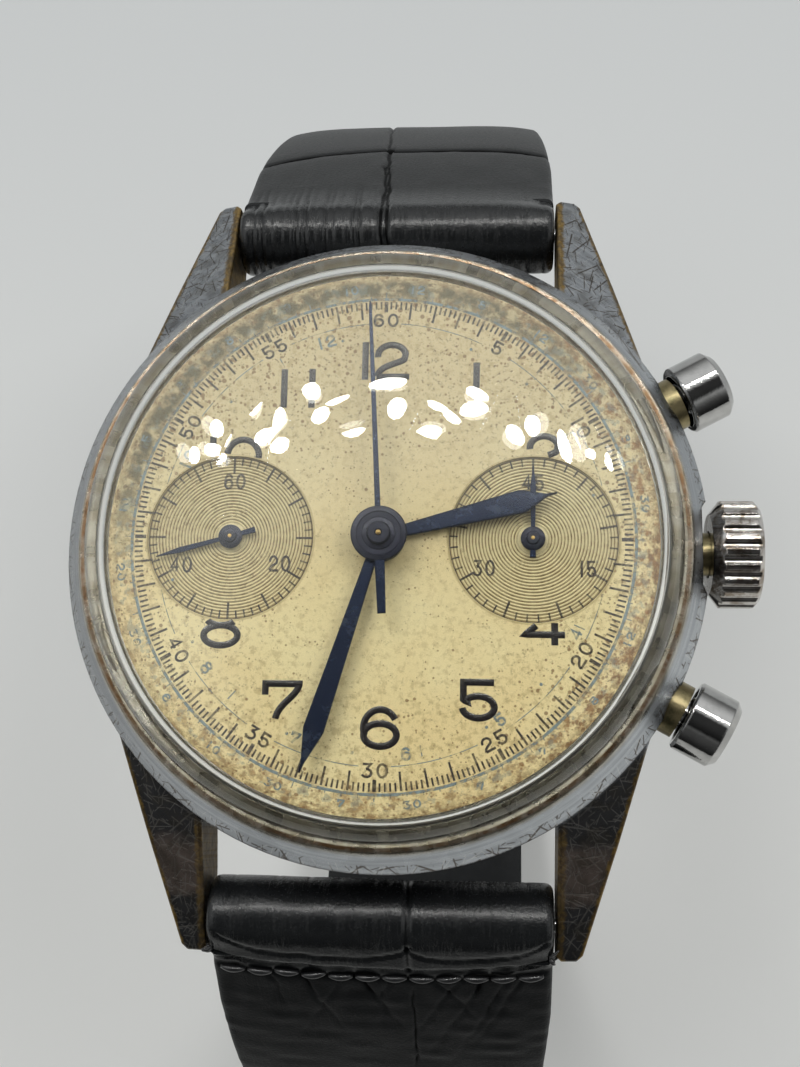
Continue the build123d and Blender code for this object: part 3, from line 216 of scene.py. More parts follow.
class Ink:
    """Strokes of printed ink, gathered into one thin raised mesh."""

    def __init__(self, z, height=0.012):
        self.z, self.h, self.v, self.f, self.clips = z, height, [], [], []

    def keep(self, x, y):
        return all((x - cx) ** 2 + (y - cy) ** 2 > r * r for cx, cy, r in self.clips)

    def stroke(self, pts, w, closed=False, dense=None):
        """A ribbon of width w with a slightly domed section."""
        P = [np.array(p, float) for p in pts]
        if closed and np.linalg.norm(P[0] - P[-1]) < 1e-9:
            P = P[:-1]
        if dense:
            Q = []
            m = len(P) if closed else len(P) - 1
            for i in range(m):
                a, b = P[i], P[(i + 1) % len(P)]
                k = max(1, int(np.linalg.norm(b - a) / dense))
                Q.extend(a + (b - a) * t / k for t in range(k))
            if not closed:
                Q.append(P[-1])
            P = Q
        n = len(P)
        L, R = [], []
        for i in range(n):
            a = P[i - 1] if (i > 0 or closed) else P[i]
            b = P[(i + 1) % n] if (i < n - 1 or closed) else P[i]
            u, v = P[i] - a, b - P[i]
            lu, lv = np.linalg.norm(u), np.linalg.norm(v)
            u = u / lu if lu > 1e-9 else v / max(lv, 1e-9)
            v = v / lv if lv > 1e-9 else u
            nu, nv = np.array((-u[1], u[0])), np.array((-v[1], v[0]))
            m = nu + nv
            m = m / max(np.linalg.norm(m), 1e-6)
            k = w / 2 / max(0.5, float(m @ nu))
            L.append(P[i] + m * k)
            R.append(P[i] - m * k)
        last = n if closed else n - 1
        for i in range(last):
            j = (i + 1) % n
            mid = (P[i] + P[j]) / 2
            if not self.keep(mid[0], mid[1]):
                continue
            b = len(self.v)
            for q, dz in ((L[i], 0), (P[i], 1), (R[i], 0), (L[j], 0), (P[j], 1), (R[j], 0)):
                self.v.append((q[0], q[1], self.z + dz * self.h))
            self.f.append((b, b + 1, b + 4, b + 3))
            self.f.append((b + 1, b + 2, b + 5, b + 4))

    def tick(self, c, ang, r0, r1, w):
        s, k = math.sin(math.radians(ang)), math.cos(math.radians(ang))
        self.stroke([(c[0] + r0 * s, c[1] + r0 * k), (c[0] + r1 * s, c[1] + r1 * k)], w)

    def ring(self, c, r, w, n=360, gaps=()):
        pts = [(c[0] + r * math.sin(2 * math.pi * i / n), c[1] + r * math.cos(2 * math.pi * i / n)) for i in range(n)]
        if not gaps:
            self.stroke(pts, w, closed=True)
            return
        run = []
        for i in range(n + 1):
            deg = 360 * i / n
            hit = any(abs((deg - g + 180) % 360 - 180) < h for g, h in gaps)
            if hit:
                if len(run) > 1:
                    self.stroke(run, w)
                run = []
            else:
                run.append(pts[i % n])
        if len(run) > 1:
            self.stroke(run, w)

    def dot(self, x, y, r):
        n = 10
        b = len(self.v)
        self.v.append((x, y, self.z + self.h))
        for i in range(n):
            a = 2 * math.pi * i / n
            self.v.append((x + r * math.cos(a), y + r * math.sin(a), self.z))
        for i in range(n):
            self.f.append((b, b + 1 + i, b + 1 + (i + 1) % n))

    def make(self, name, material, body="case"):
        if not self.f:
            return None
        return add_mesh(name, self.v, self.f, material, body, True)


def arc(cx, cy, rx, ry, a0, a1, n=28):
    return [(cx + rx * math.cos(math.radians(a0 + (a1 - a0) * i / n)), cy + ry * math.sin(math.radians(a0 + (a1 - a0) * i / n)))
            for i in range(n + 1)]


def bez(p0, p1, p2, p3, n=14):
    out = []
    for i in range(n + 1):
        t = i / n
        out.append(tuple((1 - t) ** 3 * np.array(p0) + 3 * t * (1 - t) ** 2 * np.array(p1) + 3 * t * t * (1 - t) * np.array(p2) + t ** 3 * np.array(p3)))
    return out


# single-stroke figures in a unit box: list of (points, closed)
FIG = {
    "0": [(arc(0.5, 0.5, 0.5, 0.5, 90, 450, 48), True)],
    "1": [([(0.5, 0), (0.5, 1)], False)],
    "2": [(arc(0.5, 0.66, 0.48, 0.34, 188, 10, 30) + bez((0.97, 0.60), (0.95, 0.42), (0.02, 0.40), (0.02, 0.0), 18)[2:], False),
          ([(-0.02, 0.0), (1.0, 0.0), (1.0, 0.09)], False)],
    "3": [([(0.03, 1.0), (0.92, 1.0), (0.42, 0.60)], False), (arc(0.46, 0.30, 0.52, 0.30, 98, -160, 30), False)],
    "4": [([(0.74, 0.0), (0.74, 1.0), (0.0, 0.30), (1.0, 0.30)], False)],
    "5": [([(0.96, 1.0), (0.06, 1.0), (0.06, 0.52), (0.17, 0.44)] + arc(0.5, 0.305, 0.47, 0.305, 142, -175, 36), False)],
    "6": [(arc(0.5, 0.5, 0.5, 0.5, 28, 180, 26) + arc(0.5, 0.5, 0.5, 0.5, 184, 205, 6), False),
          (arc(0.5, 0.31, 0.49, 0.31, 90, 450, 44), True)],
    "7": [([(0.03, 0.68), (0.03, 1.0), (0.97, 1.0)] + bez((0.97, 0.97), (0.88, 0.60), (0.42, 0.45), (0.34, 0.0), 16), False)],
    "8": [(arc(0.5, 0.29, 0.49, 0.29, 90, 450, 40), True), (arc(0.5, 0.79, 0.42, 0.21, 90, 450, 36), True)],
    "9": [(arc(0.5, 0.5, 0.5, 0.5, 208, 360, 26) + arc(0.5, 0.5, 0.5, 0.5, 4, 25, 6), False),
          (arc(0.5, 0.69, 0.49, 0.31, 90, 450, 44), True)],
}


def figure(ink, ch, x0, y0, x1, y1, w, place=None, dense=None):
    """Draw a figure in a box; place maps local points to the dial."""
    h = w / 2
    for pts, closed in FIG[ch]:
        q = [(x0 + h + (x1 - x0 - w) * x, y0 + h + (y1 - y0 - w) * y) if ch != "1" else ((x0 + x1) / 2, y0 + (y1 - y0) * y) for x, y in pts]
        if place:
            q = [place(*p) for p in q]
        ink.stroke(q, w, closed, dense)


def radial_text(ink, text, c, ang, r, height, width, gap, w, upright=False):
    """Figures set on a circle of radius r to their middle, always readable from below."""
    flip = -1 if 95 < ang % 360 < 265 else 1
    adv = [width * (0.62 if ch == "1" else 1.0) for ch in text]
    total = sum(adv) + (len(text) - 1) * gap
    a = math.radians(ang)
    for i, ch in enumerate(text):
        x0 = -total / 2 + sum(adv[:i]) + i * gap - (width - adv[i]) / 2
        cw = width if ch != "1" else width * 0.5

        def place(x, y):
            if upright:
                return (c[0] + r * math.sin(a) + x, c[1] + r * math.cos(a) + y)
            x, y = x * flip, y * flip
            return (c[0] + x * math.cos(a) + (r + y) * math.sin(a), c[1] - x * math.sin(a) + (r + y) * math.cos(a))
        figure(ink, ch, x0, -height / 2, x0 + width, height / 2, w, place)


# ---------------------------------------------------------------- materials
class Tree:
    """Short forms for building a node tree."""

    def __init__(self, name):
        self.m = bpy.data.materials.new(name)
        self.m.use_nodes = True
        self.t = self.m.node_tree
        self.t.nodes.clear()
        self.out = self.t.nodes.new("ShaderNodeOutputMaterial")
        self._p = None

    def put(self, sock, val):
        if isinstance(val, bpy.types.NodeSocket):
            self.t.links.new(val, sock)
        elif isinstance(val, (tuple, list)) and len(val) == 3 and len(getattr(sock, "default_value", (0, 0, 0))) == 4:
            sock.default_value = (*val, 1)
        else:
            sock.default_value = val

    def node(self, kind, out=0, props=None, **ins):
        n = self.t.nodes.new(kind)
        for k, v in (props or {}).items():
            setattr(n, k, v)
        for k, v in ins.items():
            key = int(k[1:]) if k[0] == "i" and k[1:].isdigit() else k.replace("_", " ")
            self.put(n.inputs[key], v)
        return n.outputs[out]

    def math(self, op, a, b=0.0, c=0.0, clamp=False):
        n = self.t.nodes.new("ShaderNodeMath")
        n.operation, n.use_clamp = op, clamp
        for s, v in zip(n.inputs, (a, b, c)):
            self.put(s, v)
        return n.outputs[0]

    def add(self, a, b): return self.math("ADD", a, b)
    def sub(self, a, b): return self.math("SUBTRACT", a, b)
    def mul(self, a, b): return self.math("MULTIPLY", a, b)

    def pos(self):
        """Object position in millimetres."""
        if self._p is None:
            tc = self.t.nodes.new("ShaderNodeTexCoord")
            self._p = self.node("ShaderNodeVectorMath", props={"operation": "SCALE"}, i0=tc.outputs["Object"], Scale=1000.0)
        return self._p

    def xyz(self, v=None):
        n = self.t.nodes.new("ShaderNodeSeparateXYZ")
        self.put(n.inputs[0], v if v is not None else self.pos())
        return n.outputs

    def vec(self, x, y, z):
        return self.node("ShaderNodeCombineXYZ", i0=x, i1=y, i2=z)

    def vscale(self, v, s):
        return self.node("ShaderNodeVectorMath", props={"operation": "MULTIPLY"}, i0=v, i1=s)

    def noise(self, scale, detail=3.0, rough=0.5, v=None, dist=0.0):
        return self.node("ShaderNodeTexNoise", Vector=v if v is not None else self.pos(), Scale=scale, Detail=detail, Roughness=rough, Distortion=dist)

    def voro(self, scale, out="Distance", v=None, feature="F1", rand=1.0):
        n = self.t.nodes.new("ShaderNodeTexVoronoi")
        n.feature = feature
        self.put(n.inputs["Vector"], v if v is not None else self.pos())
        n.inputs["Scale"].default_value = scale
        n.inputs["Randomness"].default_value = rand
        return n.outputs[out]

    def ramp(self, fac, lo, hi, a=0.0, b=1.0):
        """Smooth step from a at lo to b at hi."""
        n = self.t.nodes.new("ShaderNodeMapRange")
        n.interpolation_type = "SMOOTHSTEP"
        for k, v in (("Value", fac), ("From Min", lo), ("From Max", hi), ("To Min", a), ("To Max", b)):
            self.put(n.inputs[k], v)
        return n.outputs[0]

    def mix(self, fac, a, b):
        n = self.t.nodes.new("ShaderNodeMix")
        n.data_type = "RGBA"
        self.put(n.inputs[0], fac)
        self.put(n.inputs[6], a)
        self.put(n.inputs[7], b)
        return n.outputs[2]

    def bump(self, height, dist, strength=1.0, normal=None):
        n = self.t.nodes.new("ShaderNodeBump")
        self.put(n.inputs["Height"], height)
        n.inputs["Distance"].default_value = dist * MM
        self.put(n.inputs["Strength"], strength)
        if normal is not None:
            self.put(n.inputs["Normal"], normal)
        return n.outputs[0]

    def bsdf(self, colour, rough=0.5, metal=0.0, normal=None, spec=0.5, coat=0.0, coat_rough=0.1, **more):
        n = self.t.nodes.new("ShaderNodeBsdfPrincipled")
        self.put(n.inputs["Base Color"], colour)
        self.put(n.inputs["Roughness"], rough)
        self.put(n.inputs["Metallic"], metal)
        self.put(n.inputs["Specular IOR Level"], spec)
        if coat:
            self.put(n.inputs["Coat Weight"], coat)
            n.inputs["Coat Roughness"].default_value = coat_rough
        if normal is not None:
            self.put(n.inputs["Normal"], normal)
        return n.outputs[0]

    def done(self, shader):
        self.t.links.new(shader, self.out.inputs["Surface"])
        return self.m

    def nicks(self, cell, half_w, half_len, seed, share=0.7):
        """Short straight scratches, one to a cell of about 1/cell mm, each in its own direction."""
        x, y, z = self.xyz()
        v = self.vec(self.add(x, seed * 3.17), self.add(y, seed * 1.73), self.mul(z, 0.02))
        n = self.t.nodes.new("ShaderNodeTexVoronoi")
        self.put(n.inputs["Vector"], v)
        n.inputs["Scale"].default_value = cell
        rc = self.xyz(n.outputs["Color"])
        loc = self.xyz(self.node("ShaderNodeVectorMath", props={"operation": "SUBTRACT"}, i0=v, i1=n.outputs["Position"]))
        an = self.mul(rc[0], 6.2832)
        ca, sa = self.math("COSINE", an), self.math("SINE", an)
        u = self.math("ABSOLUTE", self.add(self.mul(loc[0], ca), self.mul(loc[1], sa)))
        w = self.math("ABSOLUTE", self.sub(self.mul(loc[1], ca), self.mul(loc[0], sa)))
        line = self.mul(self.ramp(w, half_w * 0.4, half_w, 1.0, 0.0), self.ramp(u, half_len * 0.6, half_len, 1.0, 0.0))
        return self.mul(line, self.ramp(rc[1], 1 - share - 0.02, 1 - share + 0.02))

    def scratches(self, count=4, seed=0, width=0.02, scale=0.55):
        """Fine straight scratches in several directions: 1 on a scratch."""
        total = None
        x, y, z = self.xyz()
        for i in range(count):
            a = rnd.uniform(0, math.pi)
            u = self.add(self.mul(x, math.cos(a)), self.mul(y, math.sin(a)))
            w = self.add(self.mul(x, -math.sin(a)), self.mul(y, math.cos(a)))
            v = self.vec(self.mul(u, 0.16), self.mul(w, 1.0), self.add(self.mul(z, 0.8), seed + i * 7.3))
            n = self.node("ShaderNodeTexNoise", Vector=v, Scale=scale * rnd.uniform(2.0, 3.4), Detail=1.0, Roughness=0.4, Distortion=0.15)
            line = self.ramp(self.math("ABSOLUTE", self.sub(n, 0.5)), 0.0, width, 1.0, 0.0)
            gate = self.ramp(self.noise(0.5, 2, 0.5, v=self.node("ShaderNodeVectorMath", props={"operation": "ADD"}, i0=self.pos(), i1=(i * 13.7 + seed, 5.1, 2.2))), 0.44, 0.58)
            line = self.mul(line, gate)
            total = line if total is None else self.math("MAXIMUM", total, line)
        return total


def lin(r, g, b):
    def f(c):
        c /= 255
        return c / 12.92 if c <= 0.04045 else ((c + 0.055) / 1.055) ** 2.4
    return (f(r), f(g), f(b))


def m_dial():
    t = Tree("dial_face")
    x, y, z = t.xyz()
    r = t.math("SQRT", t.add(t.mul(x, x), t.mul(y, y)))
    # sub-dial distance
    ax = t.sub(t.math("ABSOLUTE", x), 7.8)
    q = t.math("SQRT", t.add(t.mul(ax, ax), t.mul(y, y)))
    insub = t.ramp(q, 4.33, 4.36, 1.0, 0.0)
    base = t.mix(t.ramp(t.noise(0.12, 3), 0.35, 0.68), lin(244, 228, 176), lin(238, 216, 160))
    base = t.mix(t.ramp(y, -6, 10, 0, 0.8), base, lin(204, 188, 150))
    # mottling and speckle
    fine = t.noise(2.6, 5, 0.65)
    base = t.mix(t.mul(t.ramp(fine, 0.48, 0.64), t.ramp(r, 3, 12.5, 0.22, 0.5)), base, lin(168, 142, 90))
    grit = t.noise(3.6, 5, 0.85)
    base = t.mix(t.mul(t.ramp(grit, 0.56, 0.64), t.ramp(t.add(r, t.mul(y, 0.35)), 4, 14, 0.35, 1.0)), base, lin(100, 72, 38))
    dense = t.add(t.ramp(r, 7.5, 13.4, 0.0, 0.55), t.ramp(t.noise(0.33, 3, 0.6), 0.42, 0.68, 0.0, 0.5))
    upl = t.ramp(y, -2, 8, 0.0, 0.28)
    dense = t.math("ADD", dense, upl, clamp=True)
    dense = t.mul(dense, t.ramp(insub, 0, 1, 1, 0.55))
    for sc, lo, amp, col in ((2.6, 0.27, 1.0, (122, 86, 44)), (4.9, 0.33, 1.0, (128, 94, 50)), (1.3, 0.10, 1.1, (100, 68, 34))):
        d = t.voro(sc)
        rn = t.xyz(t.voro(sc, out="Color"))[0]
        size = t.mul(t.ramp(rn, 0.45, 1.0, 0.0, lo), t.add(dense, 0.45))
        spot = t.ramp(t.sub(d, size), -0.05, 0.03, 1.0, 0.0)
        spot = t.mul(spot, t.ramp(rn, 0.44, 0.52))
        base = t.mix(t.mul(spot, amp * 0.75), base, lin(*col))
    # stained rim: stronger to the right and at the foot
    ang = t.math("ARCTAN2", y, x)
    side = t.ramp(x, 2, 12, 0.5, 1.0)
    foot = t.ramp(y, -4, -12, 0.0, 0.75)
    left = t.ramp(x, -6, -13, 0.0, 0.45)
    where = t.math("MAXIMUM", t.math("MAXIMUM", side, foot), left)
    edge = t.ramp(t.add(r, t.mul(t.sub(t.noise(0.9, 4, 0.6), 0.5), 1.6)), 12.2, 13.3)
    blot = t.ramp(t.noise(1.7, 5, 0.7), 0.44, 0.62)
    brown = t.mul(t.mul(edge, blot), where)
    base = t.mix(t.mul(brown, 0.95), base, t.mix(t.ramp(t.noise(3.1, 3), 0.4, 0.6), lin(150, 104, 48), lin(116, 78, 36)))
    base = t.mix(t.mul(t.mul(t.ramp(r, 13.6, 14.2), t.ramp(t.noise(2.3, 4, 0.7), 0.42, 0.55)), t.add(t.mul(where, 0.5), 0.1)), base, lin(104, 72, 36))
    # painted shadow: a greenish dark band in the upper left and the top
    band = t.mul(t.ramp(r, 12.7, 13.3), t.ramp(r, 14.3, 13.7))
    top = t.ramp(t.add(y, t.mul(x, -0.35)), 1.0, 9.0)
    base = t.mix(t.mul(t.mul(band, top), t.ramp(t.noise(1.3, 4, 0.6), 0.34, 0.58, 0.25, 1.0)), base, lin(88, 78, 44))
    # faded blue-grey print outside the seconds track
    sm = t.mul(t.mul(t.ramp(r, 12.95, 13.1), t.ramp(r, 13.95, 13.75)), t.ramp(t.noise(2.1, 3, 0.6), 0.52, 0.62))
    base = t.mix(t.mul(sm, 0.42), base, lin(120, 134, 130))
    # fine turned rings in the sub-dials
    base = t.mix(t.mul(insub, t.ramp(x, -9, 6, 0.30, 0.62)), base, lin(246, 232, 184))
    ringw = t.math("SINE", t.mul(q, 2 * math.pi / 0.165))
    lines = t.mul(t.ramp(ringw, -0.2, -0.8), insub)
    zone = t.ramp(q, 0.7, 0.9)
    base = t.mix(t.mul(t.mul(lines, zone), t.ramp(fine, 0.3, 0.7, 0.60, 1.0)), base, lin(118, 92, 52))
    base = t.mix(t.mul(t.mul(t.ramp(q, 3.4, 4.35), insub), 0.16), base, lin(150, 130, 88))
    # bright wall and dark line at the edge of each sub-dial
    rim = t.mul(t.ramp(q, 4.30, 4.36), t.ramp(q, 4.46, 4.40))
    base = t.mix(t.mul(rim, 0.45), base, lin(168, 146, 96))
    b1 = t.bump(t.noise(5.5, 4, 0.6), 0.03, 0.35)
    b2 = t.bump(t.mul(ringw, t.mul(insub, zone)), 0.026, 1.0, b1)
    return t.done(t.bsdf(base, 0.42, 0.0, b2, 0.42))


def m_ink(name, colour, rough=0.25, fade=0.0, coat=0.4):
    t = Tree(name)
    col = t.mix(t.ramp(t.noise(6, 3), 0.4, 0.7, 0, 0.25), colour, tuple(min(1, c * 2.2 + 0.02) for c in colour))
    sh = t.bsdf(col, rough, 0.0, None, 0.5, coat, 0.08)
    if fade:
        tr = t.node("ShaderNodeBsdfTransparent")
        worn = t.ramp(t.noise(1.4, 4, 0.65), 0.36, 0.66, 1.0, 1.0 - fade)
        mixn = t.t.nodes.new("ShaderNodeMixShader")
        t.put(mixn.inputs[0], worn)
        t.put(mixn.inputs[1], tr)
        t.put(mixn.inputs[2], sh)
        sh = mixn.outputs[0]
    return t.done(sh)


def m_blued(name, colour=(0.010, 0.020, 0.055), rough=0.2):
    t = Tree(name)
    worn = t.ramp(t.noise(1.1, 4, 0.7), 0.50, 0.72)
    col = t.mix(t.mul(worn, 0.5), colour, (0.035, 0.045, 0.055))
    b = t.bump(t.noise(1.6, 2, 0.5), 0.006, 0.2)
    return t.done(t.bsdf(col, t.ramp(worn, 0, 1, rough + 0.04, rough + 0.22), 0.75, b, 0.6, 0.3, 0.2))


def m_case():
    """Worn chrome plating: grey, scratched, brass showing on the edges."""
    t = Tree("case_chrome")
    x, y, z = t.xyz()
    r = t.math("SQRT", t.add(t.mul(x, x), t.mul(y, y)))
    geo = t.t.nodes.new("ShaderNodeNewGeometry")
    bev = t.t.nodes.new("ShaderNodeBevel")
    bev.samples = 6
    bev.inputs["Radius"].default_value = 0.22 * MM
    dotp = t.node("ShaderNodeVectorMath", out="Value", props={"operation": "DOT_PRODUCT"}, i0=bev.outputs[0], i1=geo.outputs["Normal"])
    edge = t.ramp(dotp, 0.995, 0.90)
    edge = t.mul(edge, t.ramp(t.noise(0.9, 4, 0.7), 0.36, 0.60))
    islug = t.ramp(r, 17.05, 17.6)
    nz = t.xyz(geo.outputs["Normal"])[2]
    sc = t.math("MAXIMUM", t.math("MAXIMUM", t.nicks(0.75, 0.055, 0.95, 1), t.nicks(1.1, 0.04, 0.6, 2)), t.nicks(0.55, 0.06, 1.5, 3, 0.55))
    sc = t.math("MAXIMUM", sc, t.mul(t.nicks(2.3, 0.035, 0.3, 5), 0.8))
    sc2 = t.math("MAXIMUM", t.nicks(0.9, 0.035, 0.9, 7), t.nicks(1.7, 0.03, 0.5, 8))
    ang = t.math("ARCTAN2", y, x)
    pol = t.vec(t.mul(r, 5.0), t.mul(z, 5.0), t.mul(ang, 2.2))
    tone = t.mix(t.ramp(t.noise(1.0, 4, 0.6, v=pol), 0.35, 0.68), lin(166, 170, 175), lin(190, 194, 198))
    dull = t.mul(t.ramp(t.noise(1.8, 5, 0.7), 0.48, 0.70), t.ramp(z, 6.9, 6.4))
    tone = t.mix(t.mul(dull, 0.12), tone, lin(120, 122, 124))
    # painted shade: the faces that turn away from the top are darker
    tone = t.mix(t.mul(t.ramp(nz, 0.75, 0.25), 0.42), tone, lin(84, 85, 86))
    under = t.ramp(z, 6.9, 7.0)
    sc, sc2 = t.mul(sc, t.sub(1.0, under)), t.mul(sc2, t.sub(1.0, under))
    dark = t.mul(sc, 0.80)
    tone = t.mix(dark, tone, lin(66, 52, 36))
    tone = t.mix(t.mul(sc2, 0.35), tone, lin(215, 215, 212))
    # painted dark reflection on the two lower lugs: nearly black by the case and at the ends, brown between
    ay = t.math("ABSOLUTE", y)
    wob = t.mul(t.sub(t.noise(0.8, 4, 0.6), 0.5), 1.6)
    yy = t.add(t.sub(0.0, y), wob)
    lower_lug_reflection_mask = t.mul(t.mul(t.ramp(yy, 10.0, 11.0), t.ramp(r, 16.9, 17.15)), t.ramp(nz, 0.2, 0.5))
    shade = t.mix(t.mul(t.ramp(yy, 15.0, 16.0), t.ramp(yy, 18.6, 17.9)), lin(62, 60, 60), lin(128, 112, 102))
    shade = t.mix(t.mul(t.math("MAXIMUM", sc, sc2), 0.45), shade, lin(170, 166, 160))
    tone = t.mix(t.mul(lower_lug_reflection_mask, 0.92), tone, shade)
    # painted shade: the case body darker towards the left
    tone = t.mix(t.mul(t.ramp(x, -6, -15, 0.10, 0.55), t.ramp(r, 17.6, 17.0)), tone, t.mix(0.62, tone, (0.0, 0.0, 0.0)))
    seat = t.mul(under, t.ramp(r, 16.2, 15.9))
    tone = t.mix(seat, tone, t.mix(t.ramp(t.noise(1.3, 3, 0.5), 0.35, 0.65), lin(150, 143, 128), lin(172, 168, 158)))
    # worn bright and brown lip next to the crystal
    lip = t.mul(t.mul(t.ramp(r, 15.60, 15.66), t.ramp(r, 15.95, 15.80)), t.ramp(z, 7.5, 7.6))
    tone = t.mix(t.mul(lip, t.ramp(t.noise(0.8, 4, 0.7), 0.35, 0.6, 0.45, 0.95)), tone, lin(96, 70, 44))
    # brass along the inner and outer edges of the lugs
    absx = t.math("ABSOLUTE", x)
    jag = t.mul(t.sub(t.noise(2.2, 4, 0.7), 0.5), 0.55)
    inner = t.mul(t.ramp(t.add(absx, jag), 9.70, 9.50), islug)
    inner = t.mul(inner, t.ramp(y, -3, 6, 0.7, 1.0))
    xe = t.sub(14.02, t.mul(t.sub(t.math("ABSOLUTE", y), 9.35), 0.295))
    outer = t.mul(t.ramp(t.add(t.sub(xe, absx), t.mul(jag, 0.8)), 0.26, 0.10), t.mul(islug, t.ramp(nz, 0.2, 0.5)))
    brass = t.math("MAXIMUM", t.mul(edge, t.ramp(islug, 0, 1, 0.2, 1.0)), t.math("MAXIMUM", t.mul(inner, 0.9), t.mul(outer, 0.85)))
    tone = t.mix(brass, tone, t.mix(t.ramp(t.noise(2.4, 4, 0.7), 0.4, 0.6), lin(150, 122, 62), lin(96, 76, 40)))
    grime = t.mul(t.ramp(z, 7.0, 5.0, 0.0, 0.4), t.ramp(t.noise(1.1, 4), 0.45, 0.65))
    tone = t.mix(grime, tone, lin(84, 78, 66))
    rough = t.add(t.ramp(t.noise(1.2, 3, 0.5), 0.3, 0.7, 0.24, 0.32), t.mul(brass, 0.15))
    h = t.sub(t.mul(t.mul(t.noise(1.6, 2, 0.5), 0.12), t.sub(1.0, under)), t.add(t.mul(sc, 0.5), t.mul(sc2, 0.3)))
    b = t.bump(h, 0.02, 0.35, bev.outputs[0])
    return t.done(t.bsdf(tone, rough, 1.0, b))


def m_metal(name, colour, rough, bevel=0.0, grain=0.0, dirt=None, scratch=0, metal=1.0):
    t = Tree(name)
    nrm = None
    if bevel:
        bev = t.t.nodes.new("ShaderNodeBevel")
        bev.samples = 6
        bev.inputs["Radius"].default_value = bevel * MM
        nrm = bev.outputs[0]
    col = t.mix(t.ramp(t.noise(1.6, 4, 0.6), 0.35, 0.7, 0.0, 0.5), colour, tuple(c * 0.72 for c in colour))
    if dirt:
        col = t.mix(t.mul(t.ramp(t.noise(1.2, 5, 0.7), 0.42, 0.62), 0.8), col, dirt)
    h = t.noise(4.0, 3, 0.6)
    if scratch:
        sc = t.scratches(scratch, 17.0, 0.02, 0.8)
        col = t.mix(t.mul(sc, 0.4), col, tuple(c * 0.4 for c in colour))
        h = t.sub(t.mul(h, 0.4), sc)
    b = t.bump(h, 0.012 + grain, 0.35, nrm)
    return t.done(t.bsdf(col, rough, metal, b))


def m_plain(name, colour, rough=0.6, metal=0.0):
    t = Tree(name)
    col = t.mix(t.ramp(t.noise(2.0, 3), 0.35, 0.7, 0.0, 0.3), colour, tuple(c * 0.7 for c in colour))
    return t.done(t.bsdf(col, rough, metal, t.bump(t.noise(5, 3), 0.02, 0.3)))


def m_acrylic():
    t = Tree("acrylic_crystal")
    sc = t.nicks(0.4, 0.02, 1.4, 11, 0.3)
    b = t.bump(sc, 0.003, 0.2)
    g = t.t.nodes.new("ShaderNodeBsdfGlass")
    g.inputs["IOR"].default_value = 1.49
    t.put(g.inputs["Color"], (0.985, 0.985, 0.97))
    t.put(g.inputs["Roughness"], 0.0)
    t.put(g.inputs["Normal"], b)
    tr = t.t.nodes.new("ShaderNodeBsdfTransparent")
    t.put(tr.inputs["Color"], (0.96, 0.96, 0.94))
    lp = t.t.nodes.new("ShaderNodeLightPath")
    f = t.math("MAXIMUM", lp.outputs["Is Shadow Ray"], lp.outputs["Is Diffuse Ray"])
    mx = t.t.nodes.new("ShaderNodeMixShader")
    t.put(mx.inputs[0], f)
    t.t.links.new(g.outputs[0], mx.inputs[1])
    t.t.links.new(tr.outputs[0], mx.inputs[2])
    return t.done(mx.outputs[0])


def m_leather(name, base=(0.0085, 0.0092, 0.0098), shine=0.25, matte=0.47, soft=1.0):
    """Black embossed leather. The attribute 'strap' holds x, path length and gloss."""
    t = Tree(name)
    a = t.t.nodes.new("ShaderNodeAttribute")
    a.attribute_name = "strap"
    s = t.xyz(a.outputs["Vector"])
    v = t.vec(s[0], s[1], 0.0)
    gloss = s[2]
    fine = t.noise(5.0, 5, 0.65, v=v)
    pore = t.voro(6.5, v=v)
    crease = t.noise(1.0, 4, 0.6, v=t.vscale(v, (3.4, 0.35, 1.0)), dist=0.6)
    cr = t.ramp(t.math("ABSOLUTE", t.sub(crease, 0.5)), 0.0, 0.035, 1.0, 0.0)
    cr = t.mul(cr, t.ramp(t.noise(0.45, 3, 0.5, v=v), 0.40, 0.62))
    dust = t.ramp(t.noise(1.1, 5, 0.65, v=v), 0.45, 0.75, 0.0, 0.35)
    col = t.mix(dust, base, tuple(c * 2.1 for c in base))
    # painted shade: the crease lines are darkened in the colour as well as bumped
    col = t.mix(t.mul(cr, 0.35), col, tuple(c * 0.5 for c in base))
    # painted shade: the colour goes nearly black in the embossed grooves, by their stored depth
    ca = t.t.nodes.new("ShaderNodeAttribute")
    ca.attribute_name = "groove_shade_depth"
    groove_shade = t.ramp(ca.outputs["Fac"], 0.05, 0.19)
    col = t.mix(t.mul(groove_shade, 0.9), col, (0.001, 0.001, 0.001))
    rough = t.add(t.ramp(gloss, 0, 1, matte, shine), t.mul(t.sub(fine, 0.5), 0.22))
    h = t.sub(t.add(t.mul(fine, 0.5), t.mul(pore, 0.35)), t.mul(cr, t.ramp(gloss, 0, 1, 0.35, 0.9)))
    b = t.bump(h, 0.05 * soft, 0.55)
    wy = t.xyz()[1]
    low = t.mul(t.ramp(wy, -13.0, -16.0, 1.0, 0.70), t.mul(t.ramp(wy, -19.8, -21.2, 1.0, 0.36), t.ramp(wy, 21.4, 22.6, 0.72, 1.0)))
    return t.done(t.bsdf(col, rough, 0.0, b, t.mul(t.mul(low, t.ramp(groove_shade, 0, 1, 1.0, 0.15)), t.ramp(gloss, 0, 1, 0.40, 0.5)), t.mul(t.mul(gloss, 0.30), t.ramp(groove_shade, 0, 1, 1.0, 0.1)), 0.20))


def m_thread():
    t = Tree("waxed_thread")
    return t.done(t.bsdf((0.012, 0.012, 0.013), 0.3, 0.0, t.bump(t.noise(9, 2), 0.03, 0.5), 0.6, 0.4, 0.2))


